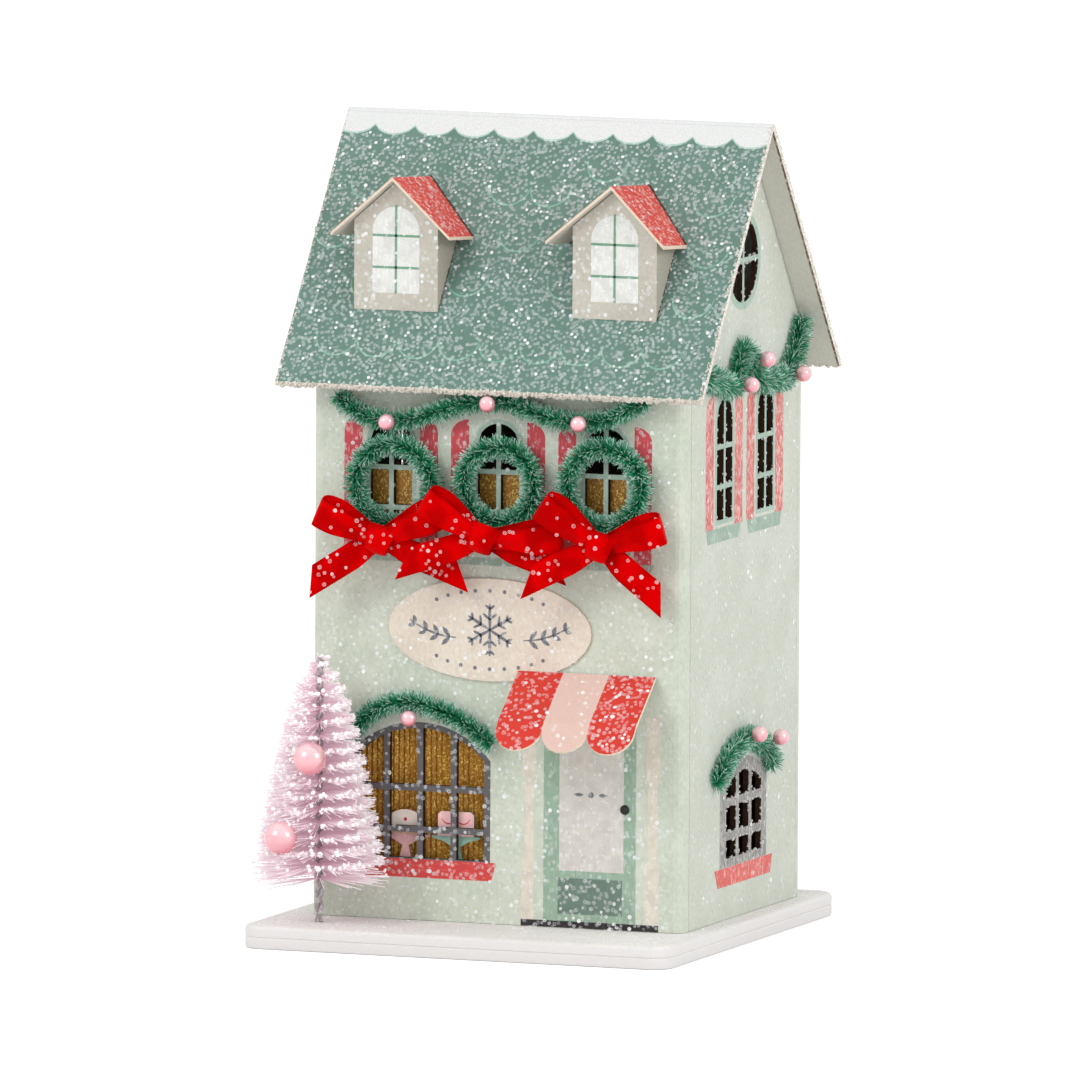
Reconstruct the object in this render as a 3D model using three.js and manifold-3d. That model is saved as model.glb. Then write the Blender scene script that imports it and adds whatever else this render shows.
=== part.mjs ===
// A glued cardboard village house: a bake shop with two dormers, wreaths, bows, garlands,
// an awning and a bottle-brush tree, all standing on a thick card base.
// Millimetres, +Z up, front towards -Y, origin at the centre of the base's underside.

import * as THREE from 'three';
import { mergeVertices } from 'three/addons/utils/BufferGeometryUtils.js';
import Module from 'manifold-3d';

const wasm = await Module();
wasm.setup();

// Clearances
const glueGap = 0.1;        // between flat card faces that are glued together
const seatGap = 0.3;        // between a piece and the slanted or round thing it rests on

// Base
const baseWidth = 111;
const baseDepth = 121;
const baseHeight = 5.7;
const baseCornerRadius = 2.5;

// House body
const bodyWidth = 97;
const bodyDepth = 83;
const bodyOffsetX = 1.6;    // the body stands a little right of the base's centre line
const frontMargin = 26;     // base showing in front of the body
const wallBoard = 1.5;
const wallCornerRadius = 2.5;
const wallReturn = 4;       // how far the folded front and back panels turn round the corners

// Roof, 200 high at the ridge
const eaveOverWindow = 8.8; // from the head of the tall windows to the eave's edge
const roofPitch = 52.2;     // degrees
const ridgeRadius = 1.2;
const eaveOverhang = 7.8;
const rakeOverhang = 6.9;
const roofBoard = 1.4;

// Tall arched windows, shared by the front and the gables
const tallHoleWidth = 10.8;
const tallHoleHeight = 29.7;
const tallBar = 1.2;
const tallLowerBarRise = 7.5;   // from the foot of the hole to the lower glazing bar
const tallPaneHeight = 8.6;     // between the two glazing bars
const frontTallOverSign = 8.2;  // from the sign's top to the foot of the hole
const frontTallPitch = 27.9;
const frontTallCount = 3;
const gableTallDrop = 3;        // from the eave's edge to the head of the hole
const gableTallPitch = 28.6;

// Shop window
const shopHoleWidth = 33.4;
const shopHoleFoot = 21;
const shopArchTop = 53;
const shopArchRadius = 22.5;
const shopBar = 1.5;
const shopColumns = 4;
const shopLowerBarFoot = 27.3;
const shopUpperBarFoot = 37.5;
const shopInset = 28.5;         // from the body's left corner to the middle of the window

// Low gable window
const lowHoleWidth = 24.7;
const lowHoleFoot = 20.7;
const lowArchTop = 41.5;
const lowArchRadius = 23;
const lowBar = 2;
const lowColumns = 3;
const lowLowerBarFoot = 25.2;
const lowUpperBarFoot = 33.5;
const lowOffsetY = 0.6;         // from the ridge line

// Round gable window
const roundHoleRadius = 10.4;
const roundBar = 1.2;
const roundDrop = 33.3;         // from the ridge to the middle of the window
const roundOffsetY = -2;        // from the ridge line

// Hole in the back for a small light
const lightHoleRadius = 11;
const lightHoleHeight = 26;

// Gold card behind the windows
const goldCard = 0.5;
const upperGoldWidth = 78;
const upperGoldFoot = 105.4;
const upperGoldHeight = 11.6;
const shopGoldWidth = 37;
const shopGoldFoot = 17;
const shopGoldHeight = 39;
const shopGoldDepth = 3.2;      // from the wall to the face of the ribbed card
const goldRibPitch = 1.4;
const goldRibDepth = 0.4;

// Cakes of thin card behind the shop window
const cakeCard = 0.8;
const cakePlateWidth = 12.6;
const cakePlateHeight = 5.6;    // above the foot of the stand
const cakePlateThickness = 1.4;
const cakeStandFootWidth = 7;
const cakeStemWidth = 1.6;
const cakeHeight = 6;
const cakeTopWidth = 9.4;
const cakePitch = 13.2;
const cakeFoot = 19.6;
const cakeOffsetX = 2.1;        // from the shop window's centre line

// Dormers
const dormerPitch = 56.9;
const dormerOffsetX = -0.6;     // of the pair's middle from the body's centre line
const dormerFaceRun = 36.2;     // from the ridge line to the dormer's face
const dormerWidth = 21.8;
const dormerCard = 0.8;
const dormerRise = 32.9;        // from the roof at the dormer's face to the dormer's ridge
const dormerEaveDrop = 14;
const dormerRoofCard = 0.6;
const dormerOverhang = 2.8;
const leftDormerHalves = [16, 14.9];
const rightDormerHalves = [17, 13.6];

// Awning over the door
const awningTop = 67.4;
const awningWidth = 35.7;
const awningInset = 7.1;        // from the body's right corner to the awning's end
const awningReach = 13;         // from the wall out to the fold
const awningDrop = 10.2;        // from the wall down to the fold
const awningCard = 0.7;
const awningTongues = 3;
const valancePitch = 52;        // degrees below the horizontal, from the fold down
const valanceBand = 2.2;        // from the fold to where the tongues part

// Oval sign
const signWidth = 52.8;
const signHeight = 25.2;
const signCard = 0.6;
const signCentreX = -1.8;       // from the body's centre line
const signOverGarland = 3.3;    // from the top of the shop window's garland to the sign

// Door knob
const knobRadius = 1.2;
const knobDepth = 0.9;
const knobInset = 15.2;         // from the body's right corner
const knobHeight = 35.4;

// Chenille wreaths and garlands
const wreathRadius = 9.1;
const wreathCoreRadius = 1.5;
const wreathTuftRadius = 3.4;
const wreathDrop = 2.1;         // from the head of the window behind to the top of the wreath
const wreathPitch = 27.4;
const wreathOffsetX = 1.4;
const wreathHangs = [-1, 0, 0.4];   // each hangs a little off the common height
const garlandRadius = 2.5;
const beadRadius = 2;

// Satin bows
const ribbonWidth = 6.6;
const ribbonThickness = 0.5;
const bowLoopGap = 1.3;         // between the two layers of a loop
const bowLoopReach = 18;        // longest right-hand loop that lies over a wreath
const bowTurn = 7;              // degrees that each bow turns its left side forward
const knotLength = 6.4;
const knotThickness = 3.4;

// Bottle-brush tree
const treeX = -39.7;
const treeY = -47.3;
const treeTop = 70.5;
const wireRadius = 1.1;
const wireTurn = 7;             // height of one full turn of the twisted wire
const brushFoot = 17;
const brushRadius = 16.4;
const brushPitch = 3.8;
const brushSleeve = 0.5;
const brushStrands = 240;
const strandRadius = 0.34;
const wreathStrands = 64;
const treeBeadRadius = 4;

// Worked out from the sizes above
const degree = Math.PI / 180;
const frontY = -baseDepth / 2 + frontMargin;
const backY = frontY + bodyDepth;
const ridgeY = (frontY + backY) / 2;
const leftX = bodyOffsetX - bodyWidth / 2;
const rightX = bodyOffsetX + bodyWidth / 2;
const wallFoot = baseHeight + glueGap;
const roofSlope = Math.tan(roofPitch * degree);
const roofCos = Math.cos(roofPitch * degree);
const roofSin = Math.sin(roofPitch * degree);
const roofRun = bodyDepth / 2 + eaveOverhang;
const shopCentreX = leftX + shopInset;
const bowLayer = ribbonThickness + bowLoopGap / 2;
const bowSlope = Math.sin(bowTurn * degree);
const bowForward = wreathCoreRadius + seatGap + bowLoopReach * bowSlope + bowLayer;

// Garland over the shop window, as (x, z) from the window's middle and head. In every garland's
// path a third number marks a pearl, rolled up by so many degrees from the garland's front.
const shopGarlandPath = [
  [-19.4, -5.1], [-16.2, -0.7], [-12.1, 3.2], [-7.9, 5.6], [-0.9, 6.5, -50], [5.4, 5], [10.7, 2.9],
  [15.2, 0.4], [19.4, -3],
];
const shopGarlandTop = Math.max(...shopGarlandPath.map(([, z]) => z)) + garlandRadius;
const shopGarlandFoot = Math.min(...shopGarlandPath.map(([, z]) => z)) - garlandRadius;

// The front from the shop window up to the ridge, each storey standing on the one below
const signCentreHeight = shopArchTop + shopGarlandTop + signOverGarland + signHeight / 2;
const frontTallFoot = signCentreHeight + signHeight / 2 + frontTallOverSign;
const frontTallHead = frontTallFoot + tallHoleHeight;
const wreathHeight = frontTallHead - wreathDrop - wreathTuftRadius - wreathRadius;
const eaveHeight = frontTallHead + eaveOverWindow;
const gableTallHead = eaveHeight - gableTallDrop;
const gableTallFoot = gableTallHead - tallHoleHeight;
const roofApex = eaveHeight + roofRun * roofSlope;
const ridgeHeight = roofApex - ridgeRadius * (1 / roofCos - 1);

const roofTopAt = (y) => roofApex - Math.abs(y - ridgeY) * roofSlope;
const roofUnderAt = (y) => roofTopAt(y) - roofBoard / roofCos;
const dormerRidgeHeight = roofTopAt(ridgeY - dormerFaceRun) + dormerRise;

const paint = (colour, roughness = 0.85, metalness = 0) =>
  new THREE.MeshStandardMaterial({ color: colour, roughness, metalness });

// Solids

function toSolid(geometry) {
  const bare = geometry.clone();
  bare.deleteAttribute('normal');
  bare.deleteAttribute('uv');
  const merged = mergeVertices(bare, 1e-4);
  const vertProperties = new Float32Array(merged.attributes.position.array);
  const triVerts = new Uint32Array(merged.index.array);
  return new wasm.Manifold(new wasm.Mesh({ numProp: 3, vertProperties, triVerts }));
}

function toGeometry(solid) {
  const mesh = solid.getMesh();
  const geometry = new THREE.BufferGeometry();
  geometry.setAttribute('position', new THREE.BufferAttribute(new Float32Array(mesh.vertProperties), 3));
  geometry.setIndex(new THREE.BufferAttribute(new Uint32Array(mesh.triVerts), 1));
  geometry.computeVertexNormals();
  return geometry;
}

function meshFrom(positions, triangles) {
  const geometry = new THREE.BufferGeometry();
  geometry.setAttribute('position', new THREE.Float32BufferAttribute(positions, 3));
  geometry.setIndex(triangles);
  geometry.computeVertexNormals();
  return geometry;
}

function shapeOf(points, holes = []) {
  const shape = new THREE.Shape(points.map(([u, v]) => new THREE.Vector2(u, v)));
  shape.holes = holes.map((hole) => new THREE.Path(hole.map(([u, v]) => new THREE.Vector2(u, v))));
  return shape;
}

// A plate drawn as (x, y) and raised along z from a foot.
function standing(shape, foot, height) {
  const geometry = new THREE.ExtrudeGeometry(shape, { depth: height, bevelEnabled: false });
  return geometry.translate(0, 0, foot);
}

// A plate drawn as (x, z) with its front face at y.
function facing(shape, y, thickness) {
  const geometry = new THREE.ExtrudeGeometry(shape, { depth: thickness, bevelEnabled: false });
  return geometry.rotateX(Math.PI / 2).translate(0, y + thickness, 0);
}

// A plate drawn as (y, z) with its left face at x.
function sideways(shape, x, thickness) {
  const geometry = new THREE.ExtrudeGeometry(shape, { depth: thickness, bevelEnabled: false });
  return geometry.rotateX(Math.PI / 2).rotateZ(Math.PI / 2).translate(x, 0, 0);
}

function arc(centreU, centreV, radius, from, to, steps) {
  const points = [];
  for (let i = 0; i <= steps; i += 1) {
    const angle = from + ((to - from) * i) / steps;
    points.push([centreU + radius * Math.cos(angle), centreV + radius * Math.sin(angle)]);
  }
  return points;
}

// Window panes, each a closed outline

// Panes of an arched opening whose bars run across its whole width.
function archedPanes({ centre, width, columns, bar, rows, archCentre, archRadius }) {
  const paneWidth = (width - bar * (columns - 1)) / columns;
  const archAt = (u) => archCentre + Math.sqrt(archRadius ** 2 - (u - centre) ** 2);
  const panes = [];
  for (let column = 0; column < columns; column += 1) {
    const left = centre - width / 2 + column * (paneWidth + bar);
    const right = left + paneWidth;
    rows.forEach(([low, high]) => {
      const head = [];
      const steps = high === null ? 5 : 1;
      for (let i = 0; i <= steps; i += 1) {
        const u = right - (paneWidth * i) / steps;
        head.push([u, high === null ? archAt(u) : high]);
      }
      panes.push([[left, low], [right, low], ...head]);
    });
  }
  return panes;
}

function tallPanes(centre, foot) {
  const lowerBar = foot + tallLowerBarRise;
  const upperBar = lowerBar + tallBar + tallPaneHeight;
  return archedPanes({
    centre,
    width: tallHoleWidth,
    columns: 2,
    bar: tallBar,
    rows: [[foot, lowerBar], [lowerBar + tallBar, upperBar], [upperBar + tallBar, null]],
    archCentre: foot + tallHoleHeight - tallHoleWidth / 2,
    archRadius: tallHoleWidth / 2 + 0.01,
  });
}

function shopPanes(centre) {
  return archedPanes({
    centre,
    width: shopHoleWidth,
    columns: shopColumns,
    bar: shopBar,
    rows: [
      [shopHoleFoot, shopLowerBarFoot],
      [shopLowerBarFoot + shopBar, shopUpperBarFoot],
      [shopUpperBarFoot + shopBar, null],
    ],
    archCentre: shopArchTop - shopArchRadius,
    archRadius: shopArchRadius,
  });
}

function lowPanes(centre) {
  return archedPanes({
    centre,
    width: lowHoleWidth,
    columns: lowColumns,
    bar: lowBar,
    rows: [
      [lowHoleFoot, lowLowerBarFoot],
      [lowLowerBarFoot + lowBar, lowUpperBarFoot],
      [lowUpperBarFoot + lowBar, null],
    ],
    archCentre: lowArchTop - lowArchRadius,
    archRadius: lowArchRadius,
  });
}

function roundPanes(centre, height) {
  const half = roundBar / 2;
  const inner = Math.asin(half / roundHoleRadius);
  const panes = [];
  for (let quarter = 0; quarter < 4; quarter += 1) {
    const start = quarter * 90 * degree;
    const cornerU = Math.sign(Math.cos(start + 45 * degree)) * half;
    const cornerV = Math.sign(Math.sin(start + 45 * degree)) * half;
    const rim = arc(centre, height, roundHoleRadius, start + inner, start + 90 * degree - inner, 6);
    panes.push([[centre + cornerU, height + cornerV], ...rim]);
  }
  return panes;
}

// House shell

function baseBoard() {
  const w = baseWidth / 2;
  const d = baseDepth / 2;
  const r = baseCornerRadius;
  const outline = [
    ...arc(w - r, d - r, r, 0, 90 * degree, 4),
    ...arc(-w + r, d - r, r, 90 * degree, 180 * degree, 4),
    ...arc(-w + r, -d + r, r, 180 * degree, 270 * degree, 4),
    ...arc(w - r, -d + r, r, 270 * degree, 360 * degree, 4),
  ];
  return standing(shapeOf(outline), 0, baseHeight);
}

// The space above the roof boards' underside, which the walls are cut back from.
function aboveRoofUnderside() {
  const reach = bodyDepth;
  const low = roofUnderAt(ridgeY - reach) - seatGap;
  const apex = roofUnderAt(ridgeY) - seatGap;
  const top = roofApex + bodyDepth;
  const outline = [[ridgeY - reach, low], [ridgeY, apex], [ridgeY + reach, low],
    [ridgeY + reach, top], [ridgeY - reach, top]];
  return toSolid(sideways(shapeOf(outline), leftX - bodyWidth, 3 * bodyWidth));
}

// A wall panel folded round both of its upright corners, drawn for a front at y = 0.
function foldedPanelPlan() {
  const r = wallCornerRadius;
  const inner = r - wallBoard;
  const outside = [
    ...arc(leftX + r, r, r, 180 * degree, 270 * degree, 4),
    ...arc(rightX - r, r, r, 270 * degree, 360 * degree, 4),
  ];
  const inside = [
    ...arc(rightX - r, r, inner, 360 * degree, 270 * degree, 4),
    ...arc(leftX + r, r, inner, 270 * degree, 180 * degree, 4),
  ];
  return shapeOf([
    [leftX, wallReturn], ...outside, [rightX, wallReturn],
    [rightX - wallBoard, wallReturn], ...inside, [leftX + wallBoard, wallReturn],
  ]);
}

function foldedPanel() {
  return standing(foldedPanelPlan(), wallFoot, ridgeHeight - wallFoot);
}

function frontWall() {
  const panes = [...shopPanes(shopCentreX)];
  for (let i = 0; i < frontTallCount; i += 1) {
    const centre = bodyOffsetX + (i - (frontTallCount - 1) / 2) * frontTallPitch;
    panes.push(...tallPanes(centre, frontTallFoot));
  }
  const shapes = panes.map((pane) => shapeOf(pane));
  const cutter = toSolid(facing(shapes, frontY - wallBoard, 3 * wallBoard));
  const panel = toSolid(foldedPanel().translate(0, frontY, 0));
  return toGeometry(panel.subtract(cutter).subtract(aboveRoofUnderside()));
}

function backWall() {
  const hole = arc(bodyOffsetX, lightHoleHeight, lightHoleRadius, 0, 350 * degree, 35);
  const cutter = toSolid(facing(shapeOf(hole), backY - 2 * wallBoard, 3 * wallBoard));
  const turned = foldedPanel().translate(-bodyOffsetX, 0, 0).rotateZ(Math.PI);
  const panel = toSolid(turned.translate(bodyOffsetX, backY, 0));
  return toGeometry(panel.subtract(cutter).subtract(aboveRoofUnderside()));
}

function gableWall(x) {
  const y0 = frontY + wallReturn + glueGap;
  const y1 = backY - wallReturn - glueGap;
  const headAt = (y) => roofUnderAt(y) - seatGap;
  const outline = [
    [y0, wallFoot], [y1, wallFoot],
    [y1, headAt(y1)], [ridgeY, headAt(ridgeY)], [y0, headAt(y0)],
  ];
  const panes = [
    ...lowPanes(ridgeY + lowOffsetY),
    ...tallPanes(ridgeY - gableTallPitch / 2, gableTallFoot),
    ...tallPanes(ridgeY + gableTallPitch / 2, gableTallFoot),
    ...roundPanes(ridgeY + roundOffsetY, ridgeHeight - roundDrop),
  ];
  const shapes = panes.map((pane) => shapeOf(pane));
  const panel = toSolid(sideways(shapeOf(outline), x, wallBoard));
  const cutter = toSolid(sideways(shapes, x - wallBoard, 3 * wallBoard));
  return toGeometry(panel.subtract(cutter));
}

// One roof board: side is -1 for the front slope and 1 for the back slope.
function roofSlopeBoard(side) {
  const eaveY = ridgeY + side * roofRun;
  const eaveZ = roofTopAt(eaveY);
  const mitre = ridgeY + (side * glueGap) / 2;
  const centreZ = ridgeHeight - ridgeRadius;
  const turn = (90 - roofPitch) * degree;
  const round = arc(0, centreZ, ridgeRadius, turn, 90 * degree, 4)
    .map(([u, v]) => [mitre + side * Math.max(u, 0), v]);
  const outline = [
    [mitre, roofUnderAt(ridgeY)],
    [eaveY - side * roofSin * roofBoard, eaveZ - roofCos * roofBoard],
    [eaveY, eaveZ],
    ...round,
  ];
  return sideways(shapeOf(outline), leftX - rakeOverhang, bodyWidth + 2 * rakeOverhang);
}

// Dormers

// Everything under the top face of the roof boards, with the seat's clearance.
function underRoofTop() {
  const reach = bodyDepth;
  const low = roofTopAt(ridgeY - reach) + seatGap;
  const outline = [[ridgeY - reach, 0], [ridgeY + reach, 0], [ridgeY + reach, low],
    [ridgeY, roofApex + seatGap], [ridgeY - reach, low]];
  return toSolid(sideways(shapeOf(outline), leftX - bodyWidth, 3 * bodyWidth));
}

// Height of the dormer roof's top face beside its own ridge.
function dormerTopAt(halves, x) {
  const half = x < 0 ? halves[0] : halves[1];
  return dormerRidgeHeight - (Math.abs(x) * dormerEaveDrop) / half;
}

function dormerRoof(centre, halves) {
  const [left, right] = halves;
  const thick = (half) => dormerRoofCard * Math.hypot(1, dormerEaveDrop / half);
  const eave = dormerRidgeHeight - dormerEaveDrop;
  const inner = dormerRidgeHeight - Math.max(thick(left), thick(right));
  const outline = [
    [centre - left, eave], [centre - left, eave - thick(left)],
    [centre, inner],
    [centre + right, eave - thick(right)], [centre + right, eave],
    [centre, dormerRidgeHeight],
  ];
  const faceY = ridgeY - dormerFaceRun;
  const card = toSolid(facing(shapeOf(outline), faceY - dormerOverhang, dormerFaceRun));
  return toGeometry(card.subtract(underRoofTop()));
}

function dormerBody(centre, halves) {
  const faceY = ridgeY - dormerFaceRun;
  const half = dormerWidth / 2;
  const drop = dormerRoofCard * Math.hypot(1, dormerEaveDrop / halves[1]) + seatGap;
  const headAt = (x) => dormerTopAt(halves, x) - drop;
  const foot = roofTopAt(faceY) - dormerCard;
  const outer = [[-half, foot], [half, foot], [half, headAt(half)], [0, headAt(0)], [-half, headAt(-half)]];
  const hollow = half - dormerCard;
  const inner = [
    [-hollow, foot - dormerCard], [hollow, foot - dormerCard],
    [hollow, dormerRidgeHeight], [-hollow, dormerRidgeHeight],
  ];
  const place = (points) => shapeOf(points.map(([u, v]) => [centre + u, v]));
  const shell = toSolid(facing(place(outer), faceY, dormerFaceRun));
  const room = toSolid(facing(place(inner), faceY + dormerCard, dormerFaceRun));
  return toGeometry(shell.subtract(room).subtract(underRoofTop()));
}

// Front trim

// A sheet that slopes out to a fold, then falls more steeply into round tongues.
function awning() {
  const wallY = frontY - signCard - 2 * glueGap;
  const left = rightX - awningInset - awningWidth;
  const slope = Math.atan2(awningDrop, awningReach);
  const steep = valancePitch * degree;
  const mitre = (slope + steep) / 2;
  const thick = awningCard / Math.cos((steep - slope) / 2);
  const fold = [wallY - awningReach, awningTop - awningDrop];
  const band = [fold[0] - valanceBand * Math.cos(steep), fold[1] - valanceBand * Math.sin(steep)];
  const profile = [
    [wallY, awningTop], fold, band,
    [band[0] - awningCard * Math.sin(steep), band[1] + awningCard * Math.cos(steep)],
    [fold[0] - thick * Math.sin(mitre), fold[1] + thick * Math.cos(mitre)],
    [wallY, awningTop + awningCard / Math.cos(slope)],
  ];
  const radius = awningWidth / awningTongues / 2;
  const tongues = [];
  for (let i = 0; i < awningTongues; i += 1) {
    const centre = left + (2 * i + 1) * radius;
    const round = arc(centre, 0, radius, 180 * degree, 360 * degree, 12);
    tongues.push(shapeOf([...round, [centre + radius, awningCard], [centre - radius, awningCard]]));
  }
  const hanging = tongues.map((tongue) => {
    const plate = facing(tongue, -awningCard, awningCard).rotateX(steep - 90 * degree);
    return toSolid(plate.translate(0, band[0], band[1]));
  });
  const sheet = toSolid(sideways(shapeOf(profile), left, awningWidth));
  return toGeometry(wasm.Manifold.union([sheet, ...hanging]));
}

function signPlate() {
  const outline = arc(0, 0, 1, 0, 350 * degree, 35);
  const oval = outline.map(([u, v]) => [
    bodyOffsetX + signCentreX + (u * signWidth) / 2, signCentreHeight + (v * signHeight) / 2]);
  return facing(shapeOf(oval), frontY - glueGap - signCard, signCard);
}

function doorKnob() {
  const profile = [new THREE.Vector2(0, 0), new THREE.Vector2(knobRadius, 0)];
  for (let i = 1; i <= 4; i += 1) {
    const angle = i * 22.5 * degree;
    const radius = i === 4 ? 0 : knobRadius * Math.cos(angle);
    profile.push(new THREE.Vector2(radius, knobDepth * Math.sin(angle)));
  }
  return new THREE.LatheGeometry(profile, 16).rotateX(Math.PI);
}

// Behind the windows

function upperGold() {
  const plate = new THREE.BoxGeometry(upperGoldWidth, goldCard, upperGoldHeight);
  const y = frontY + wallBoard + glueGap + goldCard / 2;
  return plate.translate(bodyOffsetX, y, upperGoldFoot + upperGoldHeight / 2);
}

// Ribbed card with its sides folded forward to the wall.
function shopGold() {
  const centre = shopCentreX;
  const left = centre - shopGoldWidth / 2;
  const wallY = frontY + wallBoard + glueGap;
  const faceY = wallY + shopGoldDepth;
  const ribs = Math.floor((shopGoldWidth - 2 * goldCard) / goldRibPitch);
  const ribsLeft = centre - (ribs * goldRibPitch) / 2;
  const outline = [[left, wallY], [left + goldCard, wallY], [left + goldCard, faceY]];
  for (let i = 0; i < ribs; i += 1) {
    outline.push([ribsLeft + (i + 0.05) * goldRibPitch, faceY]);
    outline.push([ribsLeft + (i + 0.5) * goldRibPitch, faceY - goldRibDepth]);
  }
  const right = left + shopGoldWidth;
  outline.push([right - goldCard, faceY], [right - goldCard, wallY], [right, wallY]);
  outline.push([right, faceY + goldCard], [left, faceY + goldCard]);
  return standing(shapeOf(outline), shopGoldFoot, shopGoldHeight);
}

// A cake on a footed stand, cut from one card; drawn round its own centre line.
function cakeOutline(domed) {
  const plateTop = cakePlateHeight + cakePlateThickness;
  const half = cakeTopWidth / 2;
  const side = [
    [cakeStandFootWidth / 2, 0], [cakeStemWidth, 1], [cakeStemWidth / 2, cakePlateHeight - 1.4],
    [cakePlateWidth / 4, cakePlateHeight], [cakePlateWidth / 2, plateTop - 0.5],
    [cakePlateWidth / 2, plateTop], [half, plateTop],
  ];
  const shoulder = domed ? cakeHeight * 0.45 : cakeHeight - 0.8;
  const crown = domed
    ? arc(0, plateTop + shoulder, half, 0, 180 * degree, 12).map(([u, v]) => [
      u, plateTop + shoulder + ((v - plateTop - shoulder) * (cakeHeight - shoulder)) / half])
    : [[half, plateTop + shoulder], [half - 0.8, plateTop + cakeHeight],
      [-half + 0.8, plateTop + cakeHeight], [-half, plateTop + shoulder]];
  const mirrored = side.map(([u, v]) => [-u, v]).reverse();
  return [...side, ...crown, ...mirrored];
}

function cakeCardSolid(centre, domed) {
  const points = cakeOutline(domed).map(([u, v]) => [centre + u, cakeFoot + v]);
  return facing(shapeOf(points), frontY + wallBoard + seatGap, cakeCard);
}

// Soft trim

function tube(points, radius, sides, steps) {
  const curve = new THREE.CatmullRomCurve3(points.map(([x, y, z]) => new THREE.Vector3(x, y, z)));
  const section = arc(0, 0, radius, 0, 360 * degree, sides).slice(0, sides);
  return new THREE.ExtrudeGeometry(shapeOf(section), { steps, bevelEnabled: false, extrudePath: curve });
}

// Garland on the front, given as (x, z) from a window's middle and head.
function frontGarland({ middle, head, path, steps }) {
  const y = frontY - garlandRadius - seatGap;
  return tube(path.map(([x, z]) => [middle + x, y, head + z]), garlandRadius, 8, steps);
}

// Garland on a gable, given as (y, z) from the ridge line and a window's head; side is 1 right, -1 left.
function gableGarland({ head, path, steps }, side) {
  const wall = side > 0 ? rightX : leftX;
  const x = wall + side * (garlandRadius + seatGap);
  return tube(path.map(([y, z]) => [x, ridgeY + y, head + z]), garlandRadius, 8, steps);
}

// Thin tapered strands, each a slim pyramid from a root on the backing to a tip.
function strand(root, tip, radius) {
  const along = new THREE.Vector3().subVectors(tip, root).normalize();
  const aside = new THREE.Vector3(0, 0, 1).cross(along);
  if (aside.length() < 0.2) {
    aside.set(1, 0, 0).cross(along);
  }
  aside.normalize();
  const up = new THREE.Vector3().crossVectors(along, aside);
  const positions = [];
  for (let i = 0; i < 3; i += 1) {
    const angle = i * 120 * degree;
    const corner = root.clone().addScaledVector(aside, radius * Math.cos(angle));
    corner.addScaledVector(up, radius * Math.sin(angle));
    positions.push(...corner.toArray());
  }
  positions.push(...tip.toArray());
  return toSolid(meshFrom(positions, [0, 2, 1, 0, 1, 3, 1, 2, 3, 2, 0, 3]));
}

function wreathCentre(place) {
  return {
    x: bodyOffsetX + wreathOffsetX + (place - 1) * wreathPitch,
    z: wreathHeight + wreathHangs[place],
  };
}

// Strands that a bow presses on stop short of it; aside is the bow's offset from the wreath.
function wreath({ x, z }, { aside, drop }) {
  const ring = new THREE.TorusGeometry(wreathRadius, wreathCoreRadius, 8, 28).rotateX(Math.PI / 2);
  const pieces = [toSolid(ring)];
  for (let i = 0; i < wreathStrands; i += 1) {
    const fromFoot = i - wreathStrands * 0.75;
    const round = (i * 360 * degree) / wreathStrands;
    const roll = (fromFoot * 137.5 - 90) * degree;
    const out = new THREE.Vector3(Math.cos(round), 0, Math.sin(round));
    const middle = out.clone().multiplyScalar(wreathRadius);
    const aim = out.multiplyScalar(Math.cos(roll)).add(new THREE.Vector3(0, Math.sin(roll), 0));
    const underBow = middle.z < -drop + ribbonWidth + wreathTuftRadius && aim.y < 0;
    const bowBack = bowForward - (middle.x - aside) * bowSlope - Math.max(bowLayer, knotThickness / 2);
    const reach = underBow ? Math.min(wreathTuftRadius, (bowBack - seatGap) / -aim.y) : wreathTuftRadius;
    const root = middle.clone().addScaledVector(aim, wreathCoreRadius / 2);
    const tip = middle.clone().addScaledVector(aim, reach);
    pieces.push(strand(root, tip, strandRadius));
  }
  const centreY = frontY - wreathTuftRadius - seatGap;
  return toGeometry(wasm.Manifold.union(pieces)).translate(x, centreY, z);
}

// Bows: every measure is from the knot's middle, in the plane of the wall.

function ribbonLoop(angle, length) {
  const gap = bowLoopGap / 2;
  const end = length - bowLayer;
  const outline = [
    [0, -bowLayer], ...arc(end, 0, bowLayer, -90 * degree, 90 * degree, 6), [0, bowLayer],
    [0, gap], ...arc(end, 0, gap, 90 * degree, -90 * degree, 6), [0, -gap],
  ];
  const band = new THREE.ExtrudeGeometry(shapeOf(outline), { depth: ribbonWidth, bevelEnabled: false });
  return toSolid(band.translate(0, 0, -ribbonWidth / 2).rotateY(-angle * degree));
}

function ribbonTail(angle, length, slant) {
  const half = ribbonWidth / 2;
  const outline = [[0, -half], [length - slant, -half], [length + slant, half], [0, half]];
  const band = facing(shapeOf(outline), -ribbonThickness / 2, ribbonThickness);
  return toSolid(band.rotateY(-angle * degree));
}

function bow({ aside, drop, leftLoop, rightLoop, leftTail, rightTail }, place) {
  const knot = new THREE.CylinderGeometry(knotThickness / 2, knotThickness / 2, ribbonWidth, 12);
  knot.scale(knotLength / knotThickness, 1, 1).rotateX(Math.PI / 2).rotateY(12 * degree);
  const pieces = [
    toSolid(knot),
    ribbonLoop(...leftLoop), ribbonLoop(...rightLoop),
    ribbonTail(...leftTail), ribbonTail(...rightTail),
  ];
  const solid = wasm.Manifold.union(pieces);
  const { x, z } = wreathCentre(place);
  const y = frontY - wreathTuftRadius - seatGap - bowForward;
  return toGeometry(solid).rotateZ(bowTurn * degree).translate(x + aside, y, z - drop);
}

// Tree

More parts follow.
